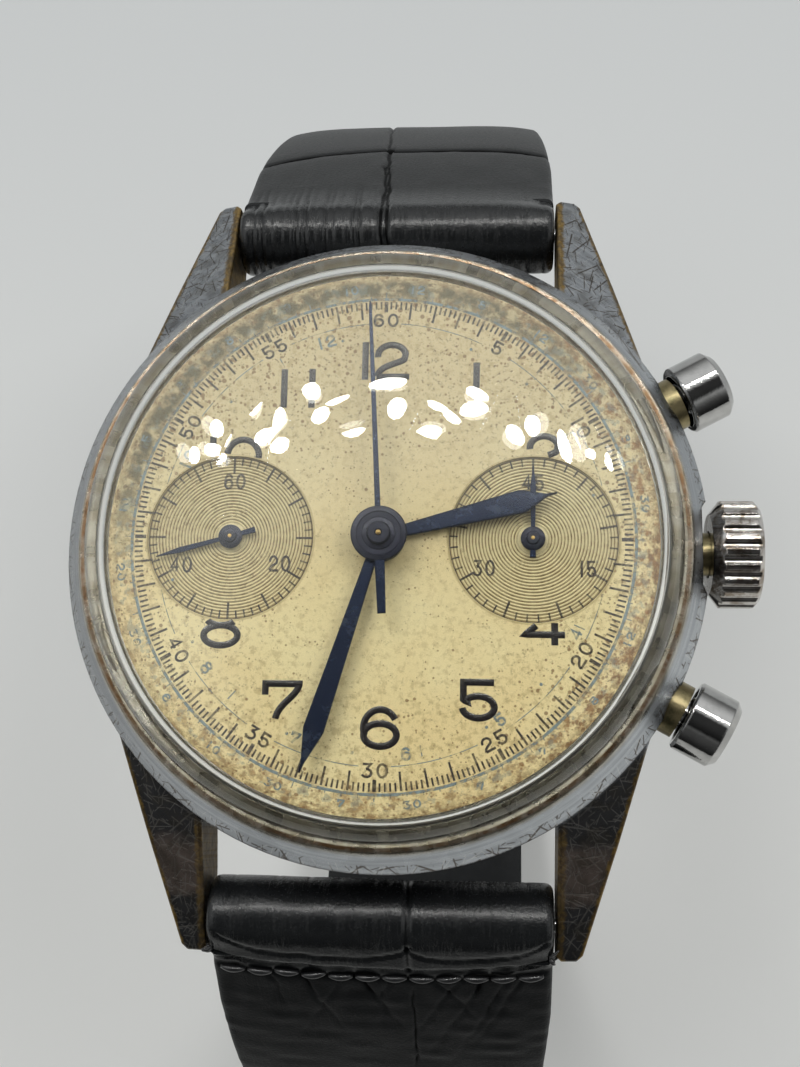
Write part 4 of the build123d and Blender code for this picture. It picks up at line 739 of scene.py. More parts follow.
MAT = {
    "dial": m_dial(),
    "ink": m_ink("dial_ink", (0.006, 0.004, 0.006), 0.25, 0.0, 0.35),
    "track": m_ink("track_ink", (0.022, 0.014, 0.010), 0.45, 0.45, 0.0),
    "grey": m_ink("faded_blue_ink", lin(118, 134, 138), 0.5, 0.85, 0.0),
    "blued": m_blued("blued_steel"),
    "boss": m_blued("blued_boss", (0.010, 0.012, 0.026), 0.32),
    "case": m_case(),
    "bright": m_metal("bright_chrome", (0.47, 0.465, 0.455), 0.07, 0.12, 0.0, None, 0),
    "crown": m_metal("crown_chrome", (0.62, 0.59, 0.56), 0.12, 0.10, 0.0, lin(112, 96, 76), 0),
    "tube": m_metal("stained_tube", lin(150, 138, 104), 0.34, 0.0, 0.02, lin(96, 92, 66), 0),
    "steel": m_metal("steel", (0.60, 0.60, 0.60), 0.26),
    "back": m_metal("back_steel", (0.52, 0.52, 0.51), 0.28, 0.1, 0.0, None, 4),
    "gilt": m_metal("gilt", lin(206, 182, 120), 0.30, 0.04),
    "brass": m_metal("brass_wheel", lin(205, 172, 92), 0.26),
    "ruby": m_plain("ruby_jewel", (0.45, 0.015, 0.03), 0.12),
    "rubber": m_plain("black_rubber", (0.02, 0.02, 0.02), 0.7),
    "pin": m_metal("brass_pin", lin(190, 160, 100), 0.3),
    "acrylic": m_acrylic(),
    "leather": m_leather("black_leather"),
    "thread": m_thread(),
}


def m_leather_plain():
    t = Tree("keeper_leather")
    x, y, z = t.xyz()
    fine = t.noise(4.5, 5, 0.65)
    h = t.add(t.mul(fine, 0.6), t.mul(t.voro(6.0), 0.35))
    bev = t.t.nodes.new("ShaderNodeBevel")
    bev.samples = 4
    bev.inputs["Radius"].default_value = 0.25 * MM
    return t.done(t.bsdf((0.016, 0.017, 0.0175), t.ramp(fine, 0.3, 0.7, 0.36, 0.55), 0.0, t.bump(h, 0.05, 0.5, bev.outputs[0]), 0.5))


MAT["keeper"] = m_leather_plain()


def paint(node, key):
    """Give a CAD node its finish."""
    o = NODE[node]
    o.data.materials.clear()
    o.data.materials.append(MAT[key])


for names, key in (
    (("case_middle",), "case"), (("case_back",), "back"), (("case_back_gasket",), "rubber"), (("case_tubes",), "tube"),
    (("dial",), "dial"), (("main_plate", "barrel_bridge", "train_bridge", "balance_cock", "chrono_bridge"), "gilt"),
    (("jewels",), "ruby"),
    (("bridge_screws", "crown_wheel_core", "lever_studs", "winding_pinion", "sliding_pinion", "winding_stem", "crown_wheel",
      "ratchet_wheel", "mainspring", "escape_wheel", "pallet_lever", "hairspring", "cannon_pinion", "minute_wheel",
      "coupling_lever", "column_wheel", "start_lever", "reset_hammer", "pusher_spring_start", "pusher_spring_reset",
      "spring_bar_12", "spring_bar_6", "buckle_bar"), "steel"),
    (("barrel_drum", "center_wheel", "third_wheel", "fourth_wheel", "hour_wheel", "chrono_runner", "intermediate_wheel",
      "counter_wheel", "coupling_wheel", "balance_wheel"), "brass"),
    (("small_seconds_hand", "minute_counter_hand", "minute_hand", "hour_hand", "chrono_seconds_hand"), "blued"),
    (("crown",), "crown"), (("pusher_start", "pusher_reset", "buckle_frame", "buckle_tongue"), "bright"),
    (("strap_12", "strap_6"), "leather"), (("fixed_keeper", "free_keeper"), "keeper"), (("crystal",), "acrylic"),
):
    for n in names:
        paint(n, key)

# ---------------------------------------------------------------- crystal
o_prof = [(0, 11.62), (2.0, 11.60), (4.0, 11.53), (6.0, 11.41), (8.0, 11.25), (10.0, 11.03), (12.0, 10.69), (13.2, 10.40), (14.1, 10.03),
          (14.6, 9.80), (14.92, 9.58), (15.14, 9.34), (15.30, 9.08), (15.41, 8.80), (15.46, 8.55), (15.48, 8.3), (15.50, 8.12), (15.66, 8.04), (15.68, 7.97),
          (15.30, 7.97), (15.30, 7.12), (14.50, 7.12), (14.50, 8.2), (14.45, 8.55), (14.30, 8.82), (14.0, 9.10), (13.6, 9.30), (13.2, 9.45),
          (12.0, 9.70), (10.0, 9.99), (8.0, 10.23), (6.0, 10.39), (4.0, 10.49), (2.0, 10.535), (0, 10.55)]
crystal = lathe("crystal_dome", o_prof, 256, MAT["acrylic"], "case", closed=False, smooth_angle=40)
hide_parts("crystal")


# ---------------------------------------------------------------- hands
def leaf(length, w0, w1, shoulder, needle=0.5):
    """Narrow at the boss, widening to a shoulder, then drawn to a short needle point."""
    right = [(w0 / 2, 0.0), (w1 / 2 * 0.99, shoulder - 0.25), (w1 / 2, shoulder), (w1 / 2 * 0.93, shoulder + 0.18),
             (0.085, length - needle), (0.035, length)]
    return right + [(-x, y) for x, y in right[::-1]]


def ring_prism(name, r0, r1, z0, z1, bev, material, body, c=(0, 0)):
    prof = [(r0, z0), (r1, z0), (r1, z1 - bev), (r1 - bev, z1), (r0 + bev, z1), (r0, z1 - bev)]
    return lathe(name, prof, 96, material, body, True, c, 30)


hour = prism("hour_hand_leaf", [(turned(leaf(9.3, 0.50, 1.22, 7.45, 0.55), 75.5), 8.12, 8.30, 0.07)], MAT["blued"], "hour_hand")
hour_b = ring_prism("hour_hand_boss", 0.76, 1.32, 8.11, 8.29, 0.05, MAT["blued"], "hour_hand")
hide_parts("hour_hand")
minute = prism("minute_hand_leaf", [(turned(leaf(12.55, 0.48, 1.06, 10.35, 0.5), 197.0), 8.46, 8.63, 0.06)], MAT["blued"], "minute_hand")
minute_b = ring_prism("minute_hand_boss", 0.55, 1.22, 8.455, 8.625, 0.05, MAT["blued"], "minute_hand")
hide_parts("minute_hand")
sweep = [(0.15, 0.0), (0.115, 8.5), (0.075, 12.1), (0.03, 12.45), (-0.03, 12.45), (-0.075, 12.1), (-0.115, 8.5), (-0.15, 0.0), (-0.26, -1.2), (-0.21, -4.1), (0.21, -4.1), (0.26, -1.2)]
chrono = prism("sweep_hand", [(turned(sweep, -3.5), 8.86, 8.98, 0.035)], MAT["blued"], "chrono_seconds")
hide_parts("chrono_seconds_hand")
boss_prof = [(0.0, 8.845), (1.40, 8.845), (1.43, 8.88), (1.43, 8.96), (1.38, 9.0), (1.16, 9.02), (1.10, 8.985), (0.86, 8.985), (0.82, 9.02), (0.62, 9.05),
             (0.58, 9.2), (0.52, 9.25), (0.20, 9.25), (0.16, 9.20), (0.0, 9.20)]
boss = lathe("sweep_boss", boss_prof, 96, MAT["boss"], "chrono_seconds", False, (0, 0), 30)
pin = lathe("sweep_pin", [(0, 9.14), (0.135, 9.14), (0.135, 9.235), (0.09, 9.27), (0, 9.275)], 32, MAT["pin"], "chrono_seconds", False, (0, 0), 40)

for nm, body, node, cx, ang, ln, tail in (("small_seconds", "fourth_wheel", "small_seconds_hand", -7.8, 254.0, 3.95, 1.35),
                                          ("minute_counter", "minute_counter", "minute_counter_hand", 7.8, 0.0, 3.8, 1.0)):
    pts = [(0.10, 0.0), (0.15, 2.7), (0.025, ln), (-0.025, ln), (-0.15, 2.7), (-0.10, 0.0), (-0.16, -tail), (0.16, -tail)]
    h = prism(nm + "_leaf", [(turned(pts, ang, (cx, 0)), 7.90, 7.985, 0.03)], MAT["blued"], body)
    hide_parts(node)
    lathe(nm + "_boss", [(0.0, 7.885), (0.60, 7.885), (0.63, 7.91), (0.62, 7.98), (0.50, 8.02), (0.34, 8.02), (0.30, 8.12), (0.16, 8.14), (0, 8.11)],
          64, MAT["boss"], body, False, (cx, 0), 30)
    lathe(nm + "_pin", [(0, 8.1), (0.10, 8.1), (0.10, 8.15), (0, 8.17)], 24, MAT["pin"], body, False, (cx, 0), 40)

# ---------------------------------------------------------------- dial printing
ZP = 7.803
SUBS = [(-7.8, 0, 4.47), (7.8, 0, 4.47)]
big = Ink(ZP, 0.035)
big.clips = SUBS
W = 0.345
# (figure, left, bottom, right, top)
for ch, x0, y0, x1, y1 in (
    ("1", -1.19, 8.52, -0.89, 10.58), ("2", -0.58, 8.52, 1.30, 10.60),
    ("1", -5.49, 6.99, -5.13, 9.10), ("1", -4.0, 6.99, -3.66, 9.12),
    ("1", 4.67, 7.31, 4.98, 9.43),
    ("2", 7.42, 3.48, 9.26, 5.60), ("4", 7.26, -5.60, 9.56, -3.50),
    ("5", 4.08, -9.29, 6.12, -7.18), ("6", -0.79, -10.78, 1.24, -8.62), ("7", -5.87, -9.49, -3.70, -7.40),
    ("8", -9.14, -5.83, -7.02, -3.70), ("1", -9.08, 3.30, -8.84, 5.41), ("0", -8.36, 3.30, -6.34, 5.41),
):
    figure(big, ch, x0, y0, x1, y1, W, dense=0.07)
big.make("dial_numerals", MAT["ink"])

track = Ink(ZP, 0.008)
track.clips = [(-7.8, 0, 4.45), (7.8, 0, 4.45)]
for i in range(300):
    a = i * 1.2
    if i % 25 == 0:
        track.tick((0, 0), a, 12.22, 12.80, 0.19)
    elif i % 5 == 0:
        track.tick((0, 0), a, 11.86, 12.80, 0.115)
    else:
        track.tick((0, 0), a, 12.38, 12.80, 0.10)
for k in range(12):
    n = 60 if k == 0 else 5 * k
    txt = str(n)
    radial_text(track, txt, (0, 0), 30 * k, 11.78, 0.74, 0.58, 0.18, 0.125)
track.make("seconds_track", MAT["track"])

grey = Ink(ZP, 0.004)
grey.clips = [(-7.8, 0, 4.45), (7.8, 0, 4.45)]
gaps = [(30 * k, 4.2 if k else 4.6) for k in range(12)]
grey.ring((0, 0), 11.60, 0.045, 360, [(30 * k, 3.6) for k in range(12)])
grey.ring((0, 0), 12.94, 0.15)
for i in range(100):
    grey.tick((0, 0), i * 3.6, 12.95, 13.12 if i % 5 else 13.3, 0.05)
for k in range(1, 20):
    a = 18 * k + 6
    s, c = math.sin(math.radians(a)), math.cos(math.radians(a))
    rr = 11.12 - 0.012 * k
    if k % 3 == 0:
        grey.tick((0, 0), a, rr - 0.28, rr + 0.28, 0.06)
    else:
        grey.dot(rr * s, rr * c, 0.085)
for txt, a in (("12", 343.5), ("4", 116), ("5", 146), ("6", 172), ("7", 201.5), ("8", 232), ("10", 292)):
    radial_text(grey, txt, (0, 0), a, 11.05, 0.66, 0.52, 0.16, 0.12)
for i in range(24):
    a = 15 * i + 7
    if rnd.random() < 0.8:
        radial_text(grey, str(rnd.choice([5, 6, 7, 8, 9, 10, 12, 15, 20, 30])), (0, 0), a, 13.55, 0.50, 0.40, 0.12, 0.10)
grey.make("telemeter_scale", MAT["grey"])

ZS = 7.663
sub = Ink(ZS, 0.008)
for cx, step, tall in ((-7.8, 6, 5), (7.8, 8, 5)):
    n = int(360 / step)
    for i in range(n):
        a = i * step
        major = i % 5 == 0
        sub.tick((cx, 0), a, 3.42 if major else 3.86, 4.28, 0.115 if major else 0.085)
sub.ring((-7.8, 0), 4.28, 0.035, 180)
sub.ring((7.8, 0), 4.28, 0.035, 180)
for txt, x, y in (("60", -7.75, 3.0), ("40", -10.35, -1.45), ("20", -5.2, -1.35)):
    w, g, h = 0.50, 0.14, 0.86
    for i, ch in enumerate(txt):
        x0 = x - (2 * w + g) / 2 + i * (w + g)
        figure(sub, ch, x0, y - h / 2, x0 + w, y + h / 2, 0.12)
for txt, x, y in (("45", 7.8, 3.0), ("30", 5.3, -1.5), ("15", 10.4, -1.5)):
    w, g, h = 0.50, 0.14, 0.86
    for i, ch in enumerate(txt):
        x0 = x - (2 * w + g) / 2 + i * (w + g) + (0.16 if ch == "1" else 0.0)
        figure(sub, ch, x0, y - h / 2, x0 + w, y + h / 2, 0.12)
sub.make("counter_tracks", MAT["track"])

# ---------------------------------------------------------------- strap
FLAP = 0.95
BAR_Y, BAR_Z, R_ROLL = 19.4, 1.9, 2.1


def stations(head, parts):
    """(y, z, ny, nz, thickness, s) along the outer face, starting with the roll on the bar."""
    y, z = BAR_Y + R_ROLL * math.sin(math.radians(-head)), BAR_Z + R_ROLL * math.cos(math.radians(-head))
    st, s, ang = [], 0.0, head
    for k in range(90):
        q = 1 - k / 90
        th = math.radians(90 + head + 335 * q)
        st.append((BAR_Y + R_ROLL * math.cos(th), BAR_Z + R_ROLL * math.sin(th), math.cos(th), math.sin(th), 1.1, -R_ROLL * math.radians(335) * q))
    for p in parts:
        if p[0] == "line":
            length, t0, t1 = p[1:]
            m = max(2, int(length / 0.16))
            ar = math.radians(ang)
            for k in range(0 if s == 0 else 1, m + 1):
                q = k / m
                st.append((y + length * q * math.cos(ar), z + length * q * math.sin(ar), -math.sin(ar), math.cos(ar), t0 + (t1 - t0) * q, s + length * q))
            y, z, s = y + length * math.cos(ar), z + length * math.sin(ar), s + length
        else:
            radius, turn, t0, t1 = p[1:]
            a0 = math.radians(ang)
            cy, cz = y + math.sin(a0) * radius, z - math.cos(a0) * radius
            length = radius * math.radians(turn)
            m = max(6, int(length / (0.16 if s < 30 else 0.4)))
            for k in range(1, m + 1):
                q = k / m
                aa = math.radians(ang - turn * q)
                st.append((cy - math.sin(aa) * radius, cz + math.cos(aa) * radius, -math.sin(aa), math.cos(aa), t0 + (t1 - t0) * q, s + length * q))
            ang -= turn
            aa = math.radians(ang)
            y, z, s = cy - math.sin(aa) * radius, cz + math.cos(aa) * radius, s + length
    return st


def half_width(z):
    return float(np.interp(-z, [1.0, 12.0, 38.0], [9.08, 8.40, 7.97]))


def hash1(i):
    return (math.sin(i * 12.9898 + 4.1) * 43758.5453) % 1.0


def wave(x, seed, scale):
    """Smooth 1-D noise in -1..1."""
    x = x * scale + seed * 17.3
    i = math.floor(x)
    f = x - i
    f = f * f * (3 - 2 * f)
    return 2 * (hash1(i + seed) * (1 - f) + hash1(i + 1 + seed) * f) - 1


def wave2(x, y, seed, sx, sy):
    x, y = x * sx + seed * 3.7, y * sy + seed * 5.1
    i, j = math.floor(x), math.floor(y)
    f, g = x - i, y - j
    f, g = f * f * (3 - 2 * f), g * g * (3 - 2 * g)
    h = lambda a, b: hash1(a * 1.0 + b * 57.13 + seed * 2.7)
    return 2 * ((h(i, j) * (1 - f) + h(i + 1, j) * f) * (1 - g) + (h(i, j + 1) * (1 - f) + h(i + 1, j + 1) * f) * g) - 1


def dip(d, w):
    return math.exp(-(d / w) ** 2)


def relief_12(x, s):
    """Depth of the embossing on the twelve o'clock half, in mm."""
    mid = -0.62 - 0.055 * max(0.0, s) * 0.9 + 0.10 * wave(s, 3, 0.9)
    d = 0.0
    if s > -5.5:
        split = 0.12 if 0 < s < 6.0 else 0.17 if s <= 0 else 0.03
        amp = 0.20 if s < 9.6 else 0.16
        d += amp * max(dip(x - mid - split, 0.13), dip(x - mid + split, 0.13))
    if s > 3:
        rows = ((9.3, 1.0), (22.0, 0.8), (31.0, 0.7), (40.5, 0.7), (50.0, 0.6))
        for s0, k in rows:
            if s0 < 12:
                line = s0 - 0.030 * (x + 0.7) ** 2 * 0.55 - 0.12 * (-(x + 0.7)) if x < -0.7 else s0 - 0.35 + 0.05 * wave(x, 5, 0.8) - 0.022 * max(0, x - 4) ** 2
            else:
                line = s0 + 0.4 * wave(x, int(s0), 0.35)
            d += 0.19 * k * dip(s - line, 0.20) + 0.05 * dip(s - line, 0.7)
    # lengthwise creases over the roll, most on the left half
    if -6.5 < s < 3.0:
        fade = min(1.0, (s + 6.5) / 1.5) * min(1.0, max(0.0, (3.0 - s) / 2.6))
        side = 1.0 if x < mid - 0.3 else 0.25
        for i in range(16):
            xc = -8.4 + i * 0.52 + 0.32 * hash1(i * 1.7)
            d += 0.11 * side * (0.4 + hash1(i + 40)) * dip(x - xc - 0.04 * wave(s, i, 0.9), 0.10) * fade
        for i in range(12):
            xc = 0.6 + i * 0.68 + 0.4 * hash1(i * 2.3)
            d += 0.035 * (0.3 + hash1(i + 80)) * dip(x - xc, 0.10) * fade
    # short puckers below the cross groove
    if 3 < s < 9.3:
        d += 0.022 * wave2(x, s, 11, 1.1, 0.5) * (1 if x < 4 else 1.4)
    d += 0.025 * wave2(x, s, 5, 0.35, 0.3)
    return d




def relief_6(x, s):
    """Depth of the embossing on the six o'clock half, in mm."""
    d = 0.0
    mid = 1.45 + 0.09 * wave(s, 8, 0.8)
    flap = FLAP + 0.55 * (1 - (x / 9) ** 2) + 0.05 * wave(x, 2, 0.9)
    if s < flap + 0.4:
        if s > -5.5:
            d += 0.15 * dip(x - mid, 0.16)
            # two rounded panels outlined near the flap
            for xc, hw in ((-3.4, 4.5), (5.0, 3.2)):
                u = abs(x - xc) / hw
                line = flap - 0.85 - 0.55 * u ** 4
                if u < 1.15:
                    d += 0.10 * dip(s - line, 0.09)
            d += 0.03 * wave2(x, s, 14, 1.4, 0.4) * min(1.0, (s + 5.5) / 2)
        for i in range(9):
            xc = -8.2 + i * 1.9 + 0.9 * hash1(i * 3.1)
            d += 0.03 * dip(x - xc, 0.06) * (1 if -6 < s < 0.2 else 0)
    step = 0.30 / (1 + math.exp(-(s - flap) / 0.045))
    d += step
    if s > flap:
        under = min(1.0, (s - flap) / 0.8)
        seam = flap + 0.95
        d += 0.12 * dip(s - seam, 0.22)
        d += (0.16 * dip(x - mid - 0.25, 0.10)) * min(1.0, max(0.0, (s - seam - 0.6) / 1.0))
        # puckers that fan out from the stitches, and long diagonal creases on the right
        far = math.exp(-max(0.0, s - seam) / 4.0)
        fan = wave2(x + 0.35 * (s - seam) * (0.4 if x < 0 else -0.5), s * 0.3, 21, 1.25, 0.8)
        d += 0.11 * far * under * fan
        for xc, a, ln in ((-5.9, 0.25, 3.0), (-4.3, 0.5, 5.0), (-2.2, -0.45, 6.0), (-1.1, 0.55, 4.5), (0.5, -0.35, 3.0), (3.0, 0.7, 4.0), (4.2, -0.55, 6.0),
                          (5.4, -0.45, 8.0), (6.7, -0.40, 8.5), (7.6, -0.5, 7.5)):
            q = s - seam - 0.25
            if 0 < q < ln:
                d += 0.11 * dip(x - xc - a * q - 0.12 * wave(q, int(xc * 3), 1.4), 0.10 + 0.02 * q) * (1 - q / ln)
        for s0 in (14.5, 24.0, 33.5, 43.0, 52.5):
            d += 0.15 * dip(s - s0 - 0.4 * wave(x, int(s0), 0.35), 0.2)
        d += 0.045 * wave2(x, s, 31, 0.5, 1.6) * min(1.0, (s - flap) / 3) * (1.0 if s < 14 else 0.4)
    d += 0.025 * wave2(x, s, 6, 0.35, 0.3)
    return d


def strap_half(name, head, parts, side, relief, body, node, round_end=False):
    st = stations(head, parts)
    total = st[-1][5]
    NX, verts, faces, attr, rows, groove_shade = 150, [], [], [], [], []
    for y, z, ny, nz, t, s in st:
        hw = half_width(z)
        if round_end and total - s < 6.5:
            u = max(0.0, 1 - (total - s) / 6.5)
            hw *= math.sqrt(max(0.02, 1 - u ** 2.6)) if u > 0 else 1
        ro, ri = min(0.5, t * 0.4), min(0.3, t * 0.25)
        row = []
        gloss = 1.0 if s < 1.2 else max(0.0, 1 - (s - 1.2) / 1.6)
        if side > 0:
            gloss = 1.0 if s < 0.2 else max(0.0, 1 - (s - 0.2) / 2.4)
        prof = []
        for i in range(NX + 1):
            x = (hw - ro) * (2 * i / NX - 1)
            fall = (0.42 if s > 0.5 else 0.42 * max(0, (s + 1.0) / 1.5) if s > -1 else 0.0) * (abs(x) / hw) ** 5
            rl = relief(x, s)
            prof.append((x, fall - 0.03 + rl, 1, rl - (0.30 if side < 0 and s > FLAP + 0.3 else 0.0)))
        for k in range(1, 5):
            a = math.pi / 2 * k / 4
            prof.append((hw - ro + ro * math.sin(a), prof[NX][1] + ro - ro * math.cos(a), 1))
        for k in range(0, 4):
            a = math.pi / 2 * k / 3
            prof.append((hw - ri + ri * math.cos(a), t - ri + ri * math.sin(a), 0))
        for i in range(1, 10):
            prof.append(((hw - ri) * (1 - 2 * i / 10), t, 0))
        for k in range(3, -1, -1):
            a = math.pi / 2 * k / 3
            prof.append((-(hw - ri + ri * math.cos(a)), t - ri + ri * math.sin(a), 0))
        for k in range(4, 0, -1):
            a = math.pi / 2 * k / 4
            prof.append((-(hw - ro + ro * math.sin(a)), prof[0][1] + ro - ro * math.cos(a), 1))
        for x, d, f, *cv in prof:
            groove_shade.append(max(0.0, cv[0]) if cv else 0.0)
            row.append(len(verts))
            verts.append((x, side * (y - ny * d), z - nz * d))
            attr.append((x, s, gloss if f else 0.0))
        rows.append(row)
    n = len(rows[0])
    for A, B in zip(rows, rows[1:]):
        for k in range(n):
            m = (k + 1) % n
            faces.append((A[k], A[m], B[m], B[k]))
    faces.append(tuple(rows[0][::-1]))
    faces.append(tuple(rows[-1]))
    ob = add_mesh(name, verts, faces, MAT["leather"], None, True, None)
    at = ob.data.attributes.new("strap", "FLOAT_VECTOR", "POINT")
    at.data.foreach_set("vector", [c for a in attr for c in a])
    # depth of the embossed grooves, for the painted shade in them
    at2 = ob.data.attributes.new("groove_shade_depth", "FLOAT", "POINT")
    at2.data.foreach_set("value", groove_shade)
    fix_normals(ob)
    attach(ob, body)
    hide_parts(node)
    return st


st12 = strap_half("strap_short_leather", -42, [("line", 5.2, 3.2, 3.2), ("arc", 44, 20, 3.2, 2.3), ("arc", 19.898, 118, 2.3, 2.0), ("line", 14.6, 2.0, 2.0)],
                  1, relief_12, "strap_12", "strap_12")
st6 = strap_half("strap_long_leather", -46, [("line", 4.2, 3.2, 3.2), ("arc", 40, 18, 3.2, 2.3), ("arc", 23.253, 116, 2.3, 2.0), ("line", 26.616, 2.0, 2.0),
                                            ("arc", 21.958, 62, 2.0, 2.0)], -1, relief_6, "strap_6", "strap_6", True)


def on_strap(st, side, s, x, lift=0.0):
    """Point and frame on the outer face at path length s."""
    i = min(range(len(st)), key=lambda k: abs(st[k][5] - s))
    y, z, ny, nz = st[i][:4]
    return Vector((x, side * (y + ny * lift), z + nz * lift)), Vector((0, side * ny, nz))


def stitch(verts, faces, p, q, up, r):
    """A short fat thread from p to q."""
    d = (q - p)
    length = d.length
    d.normalize()
    sidev = up.cross(d).normalized()
    n, m = 8, 7
    base = len(verts)
    for i in range(m + 1):
        u = i / m
        c = p + d * (length * u)
        rr = r * (math.sin(math.pi * (0.08 + 0.84 * u)) ** 0.55)
        lift = up * (r * 0.5 * math.sin(math.pi * u))
        for k in range(n):
            a = 2 * math.pi * k / n
            v = c + lift + (sidev * math.cos(a) + up * math.sin(a)) * rr
            verts.append(tuple(v))
    for i in range(m):
        for k in range(n):
            l = (k + 1) % n
            faces.append((base + i * n + k, base + i * n + l, base + (i + 1) * n + l, base + (i + 1) * n + k))
    faces.append(tuple(base + k for k in range(n))[::-1])
    faces.append(tuple(base + m * n + k for k in range(n)))


sv, sf = [], []
for i in range(12):
    x0 = -8.55 + i * 1.44
    x1 = x0 + 1.30
    ya = FLAP + 0.55 * (1 - (x0 / 9) ** 2) + 0.92
    yb = FLAP + 0.55 * (1 - (x1 / 9) ** 2) + 0.92
    p, up_ = on_strap(st6, -1, ya + 0.06 * wave(i, 4, 1.3), x0, -0.30)
    q, _ = on_strap(st6, -1, yb + 0.06 * wave(i, 9, 1.3), x1, -0.30)
    stitch(sv, sf, p, q, up_, 0.20)
stitches = add_mesh("flap_stitches", sv, sf, MAT["thread"], None, True)
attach(stitches, "strap_6")

# frayed threads at the two ends of the flap
sv, sf = [], []
for sx in (-1, 1):
    for i in range(6):
        p, n_ = on_strap(st6, -1, 0.35 + 0.12 * i, sx * 8.85, -0.25 - 0.05 * i)
        q = p + Vector((sx * rnd.uniform(0.25, 0.6), rnd.uniform(-0.35, 0.35), rnd.uniform(-0.2, 0.3)))
        stitch(sv, sf, p, q, n_, rnd.uniform(0.07, 0.12))
fray = add_mesh("flap_fray", sv, sf, MAT["thread"], None, True)
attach(fray, "strap_6")

# ---------------------------------------------------------------- floor and light
Z_FLOOR = -44.66
fl = Tree("pale_floor")
# painted light: the floor is lighter towards the front and the right, near the watch, against its shadow
floor_painted_light = fl.mix(fl.ramp(fl.xyz()[1], 85, -45), lin(203, 205, 205), lin(238, 238, 235))
floor_painted_light = fl.mix(fl.mul(fl.ramp(fl.xyz()[0], -5, 45), fl.ramp(fl.xyz()[1], 20, -45)), floor_painted_light, lin(252, 252, 249))
fl.done(fl.bsdf(floor_painted_light, 0.85, 0.0, None, 0.2))
floor = add_mesh("floor", [(-1500, -1500, Z_FLOOR - 0.02), (1500, -1500, Z_FLOOR - 0.02), (1500, 1500, Z_FLOOR - 0.02), (-1500, 1500, Z_FLOOR - 0.02)],
                 [(0, 1, 2, 3)], fl.m, None, False)


def area(name, loc, target, size, power, size_y=None, colour=(1, 1, 1), spec=1.0):
    d = bpy.data.lights.new(name, "AREA")
    d.shape = "RECTANGLE" if size_y else "SQUARE"
    d.size = size * MM
    if size_y:
        d.size_y = size_y * MM
    d.energy = power
    d.color = colour
    d.specular_factor = spec
    o = bpy.data.objects.new(name, d)
    bpy.context.scene.collection.objects.link(o)
    o.location = Vector(loc) * MM
    o.rotation_mode = "QUATERNION"
    o.rotation_quaternion = (Vector(target) - Vector(loc)).to_track_quat("-Z", "Y")
    return o


# small lamps whose glints lie on the crystal
DOME_R = np.array([p[0] for p in o_prof[:10]])
DOME_Z = np.array([p[1] for p in o_prof[:10]])


def glint(px, py):
    """Point 600 mm away that the dome mirrors to this point of the picture."""
    d = image_dir(px, py)
    p = eye + d * ((11.4 - eye.z) / d.z)
    for _ in range(12):
        r = math.hypot(p.x, p.y)
        z = float(np.interp(r, DOME_R, DOME_Z))
        p = eye + d * ((z - eye.z) / d.z)
    r = math.hypot(p.x, p.y)
    k = (math.sqrt(1 + 0) and (float(np.interp(r + 0.6, DOME_R, DOME_Z)) - float(np.interp(max(0, r - 0.6), DOME_R, DOME_Z))) / (r + 0.6 - max(0, r - 0.6)))
    n = Vector((-k * p.x / max(r, 1e-6), -k * p.y / max(r, 1e-6), 1)).normalized()
    q = d - n * (2 * d.dot(n))
    return p + q * 600


em = Tree("lamp_glow")
em_n = em.t.nodes.new("ShaderNodeEmission")
em_n.inputs["Color"].default_value = (1.0, 0.99, 0.96, 1)
em_n.inputs["Strength"].default_value = 46.0
em.done(em_n.outputs[0])
gv, gf = [], []
for px, py, ln, wd, ang in (
    (255.7, 408, 19, 9, 60), (263, 433, 26, 12, 35), (276, 418, 26, 10, 66), (214, 427, 17, 8, 68), (224, 438, 17, 8, 78), (206.6, 447, 15, 9, 50),
    (194, 455, 18, 7, 75), (220.6, 459, 15, 10, 35), (280.5, 446, 20, 13, 35), (310.5, 389, 18, 12, 20), (321, 416, 21, 12, 35), (338, 400, 27, 10, 24),
    (354.5, 436, 23, 9, 14), (396.6, 408, 20, 17, 30), (388, 379, 40, 8, 3), (438, 405, 24, 15, -20), (450, 415, 26, 13, -48), (429.7, 431, 26, 14, 0),
    (477, 394, 25, 11, -25), (476, 407, 26, 12, -12), (515, 435, 24, 14, -52), (538, 422, 22, 9, -62), (563.6, 447, 36, 8, -70), (575, 441, 20, 7, -66),
    (610, 462, 20, 7, -72), (596, 452, 12, 6, -60),
):
    b = len(gv)
    ca, sa = math.cos(math.radians(ang)), math.sin(math.radians(ang))
    for i in range(14):
        u, v = ln / 2 * math.cos(2 * math.pi * i / 14), wd / 2 * math.sin(2 * math.pi * i / 14)
        gv.append(tuple(glint(px + u * ca + v * sa, py - u * sa + v * ca)))
    gf.append(tuple(range(b, b + 14)))
lamps = add_mesh("lamps", gv, gf, em.m, None, False)
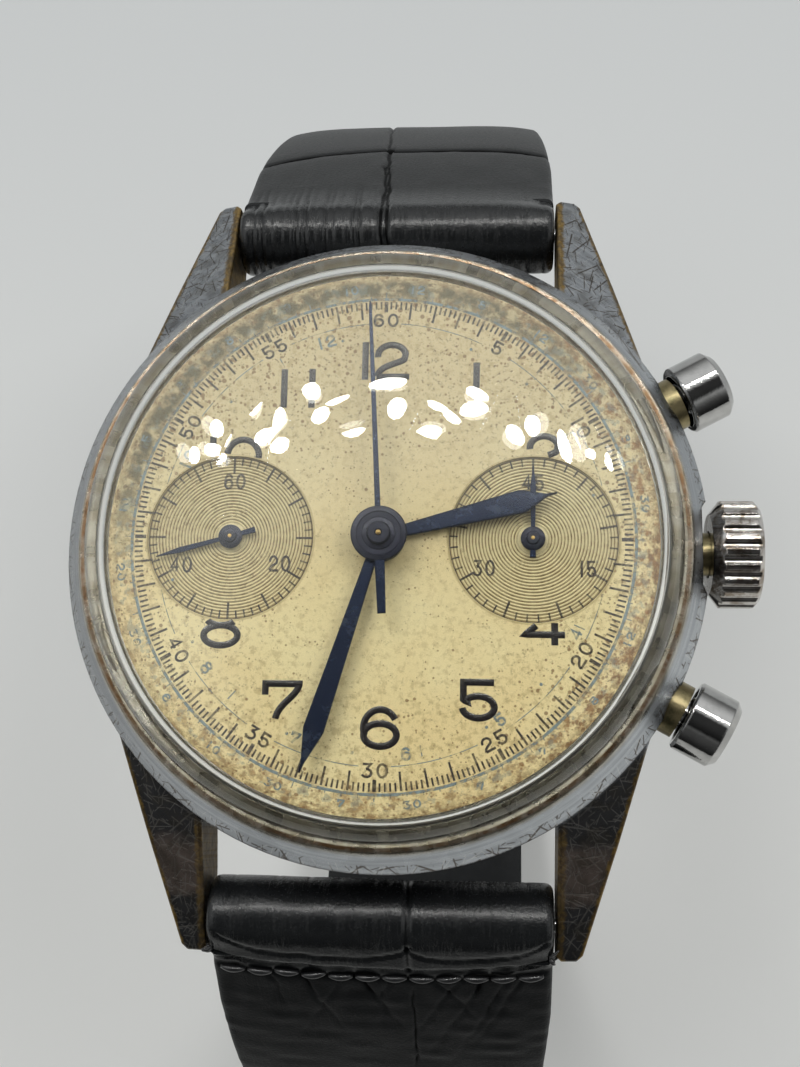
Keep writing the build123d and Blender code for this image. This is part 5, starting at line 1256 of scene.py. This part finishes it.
lamps.visible_diffuse = False
lamps.visible_shadow = False

world = bpy.data.worlds.new("soft_room")
bpy.context.scene.world = world
world.use_nodes = True
wt = world.node_tree
wt.nodes.clear()
tc = wt.nodes.new("ShaderNodeTexCoord")
sp = wt.nodes.new("ShaderNodeSeparateXYZ")
wt.links.new(tc.outputs["Generated"], sp.inputs[0])


def wmap(sock, lo, hi, a, b):
    n = wt.nodes.new("ShaderNodeMapRange")
    n.interpolation_type = "SMOOTHSTEP"
    wt.links.new(sock, n.inputs["Value"])
    for k, v in (("From Min", lo), ("From Max", hi), ("To Min", a), ("To Max", b)):
        n.inputs[k].default_value = v
    return n.outputs[0]


def wmul(a, b):
    n = wt.nodes.new("ShaderNodeMath")
    n.operation = "MULTIPLY"
    wt.links.new(a, n.inputs[0])
    wt.links.new(b, n.inputs[1])
    return n.outputs[0]


high = wmap(sp.outputs[2], 0.0, 0.75, 0.20, 0.98)
south = wmap(sp.outputs[1], -0.70, 0.0, 0.10, 1.0)
# the dark camera and the hands that hold it, seen in every surface that faces the eye
vd = wt.nodes.new("ShaderNodeVectorMath")
vd.operation = "DOT_PRODUCT"
wt.links.new(tc.outputs["Generated"], vd.inputs[0])
vd.inputs[1].default_value = tuple(back)
phone = wmap(vd.outputs["Value"], 0.84, 0.93, 1.0, 0.05)
strength = wmul(wmul(high, south), phone)
bg = wt.nodes.new("ShaderNodeBackground")
bg.inputs["Color"].default_value = (0.98, 1.0, 1.0, 1)
wt.links.new(strength, bg.inputs["Strength"])
wo = wt.nodes.new("ShaderNodeOutputWorld")
wt.links.new(bg.outputs[0], wo.inputs[0])

key = area("key", (-260, 330, 420), (0, 0, 0), 300, 1.22, 300)
fill = area("fill", (300, 200, 380), (0, 0, 0), 260, 0.7, 260)
for o in (key, fill):
    o.visible_glossy = False
    o.visible_transmission = False

scene = bpy.context.scene
scene.view_settings.view_transform = "Standard"
scene.view_settings.look = "None"
scene.view_settings.exposure = 0.0
scene.view_settings.gamma = 1.0
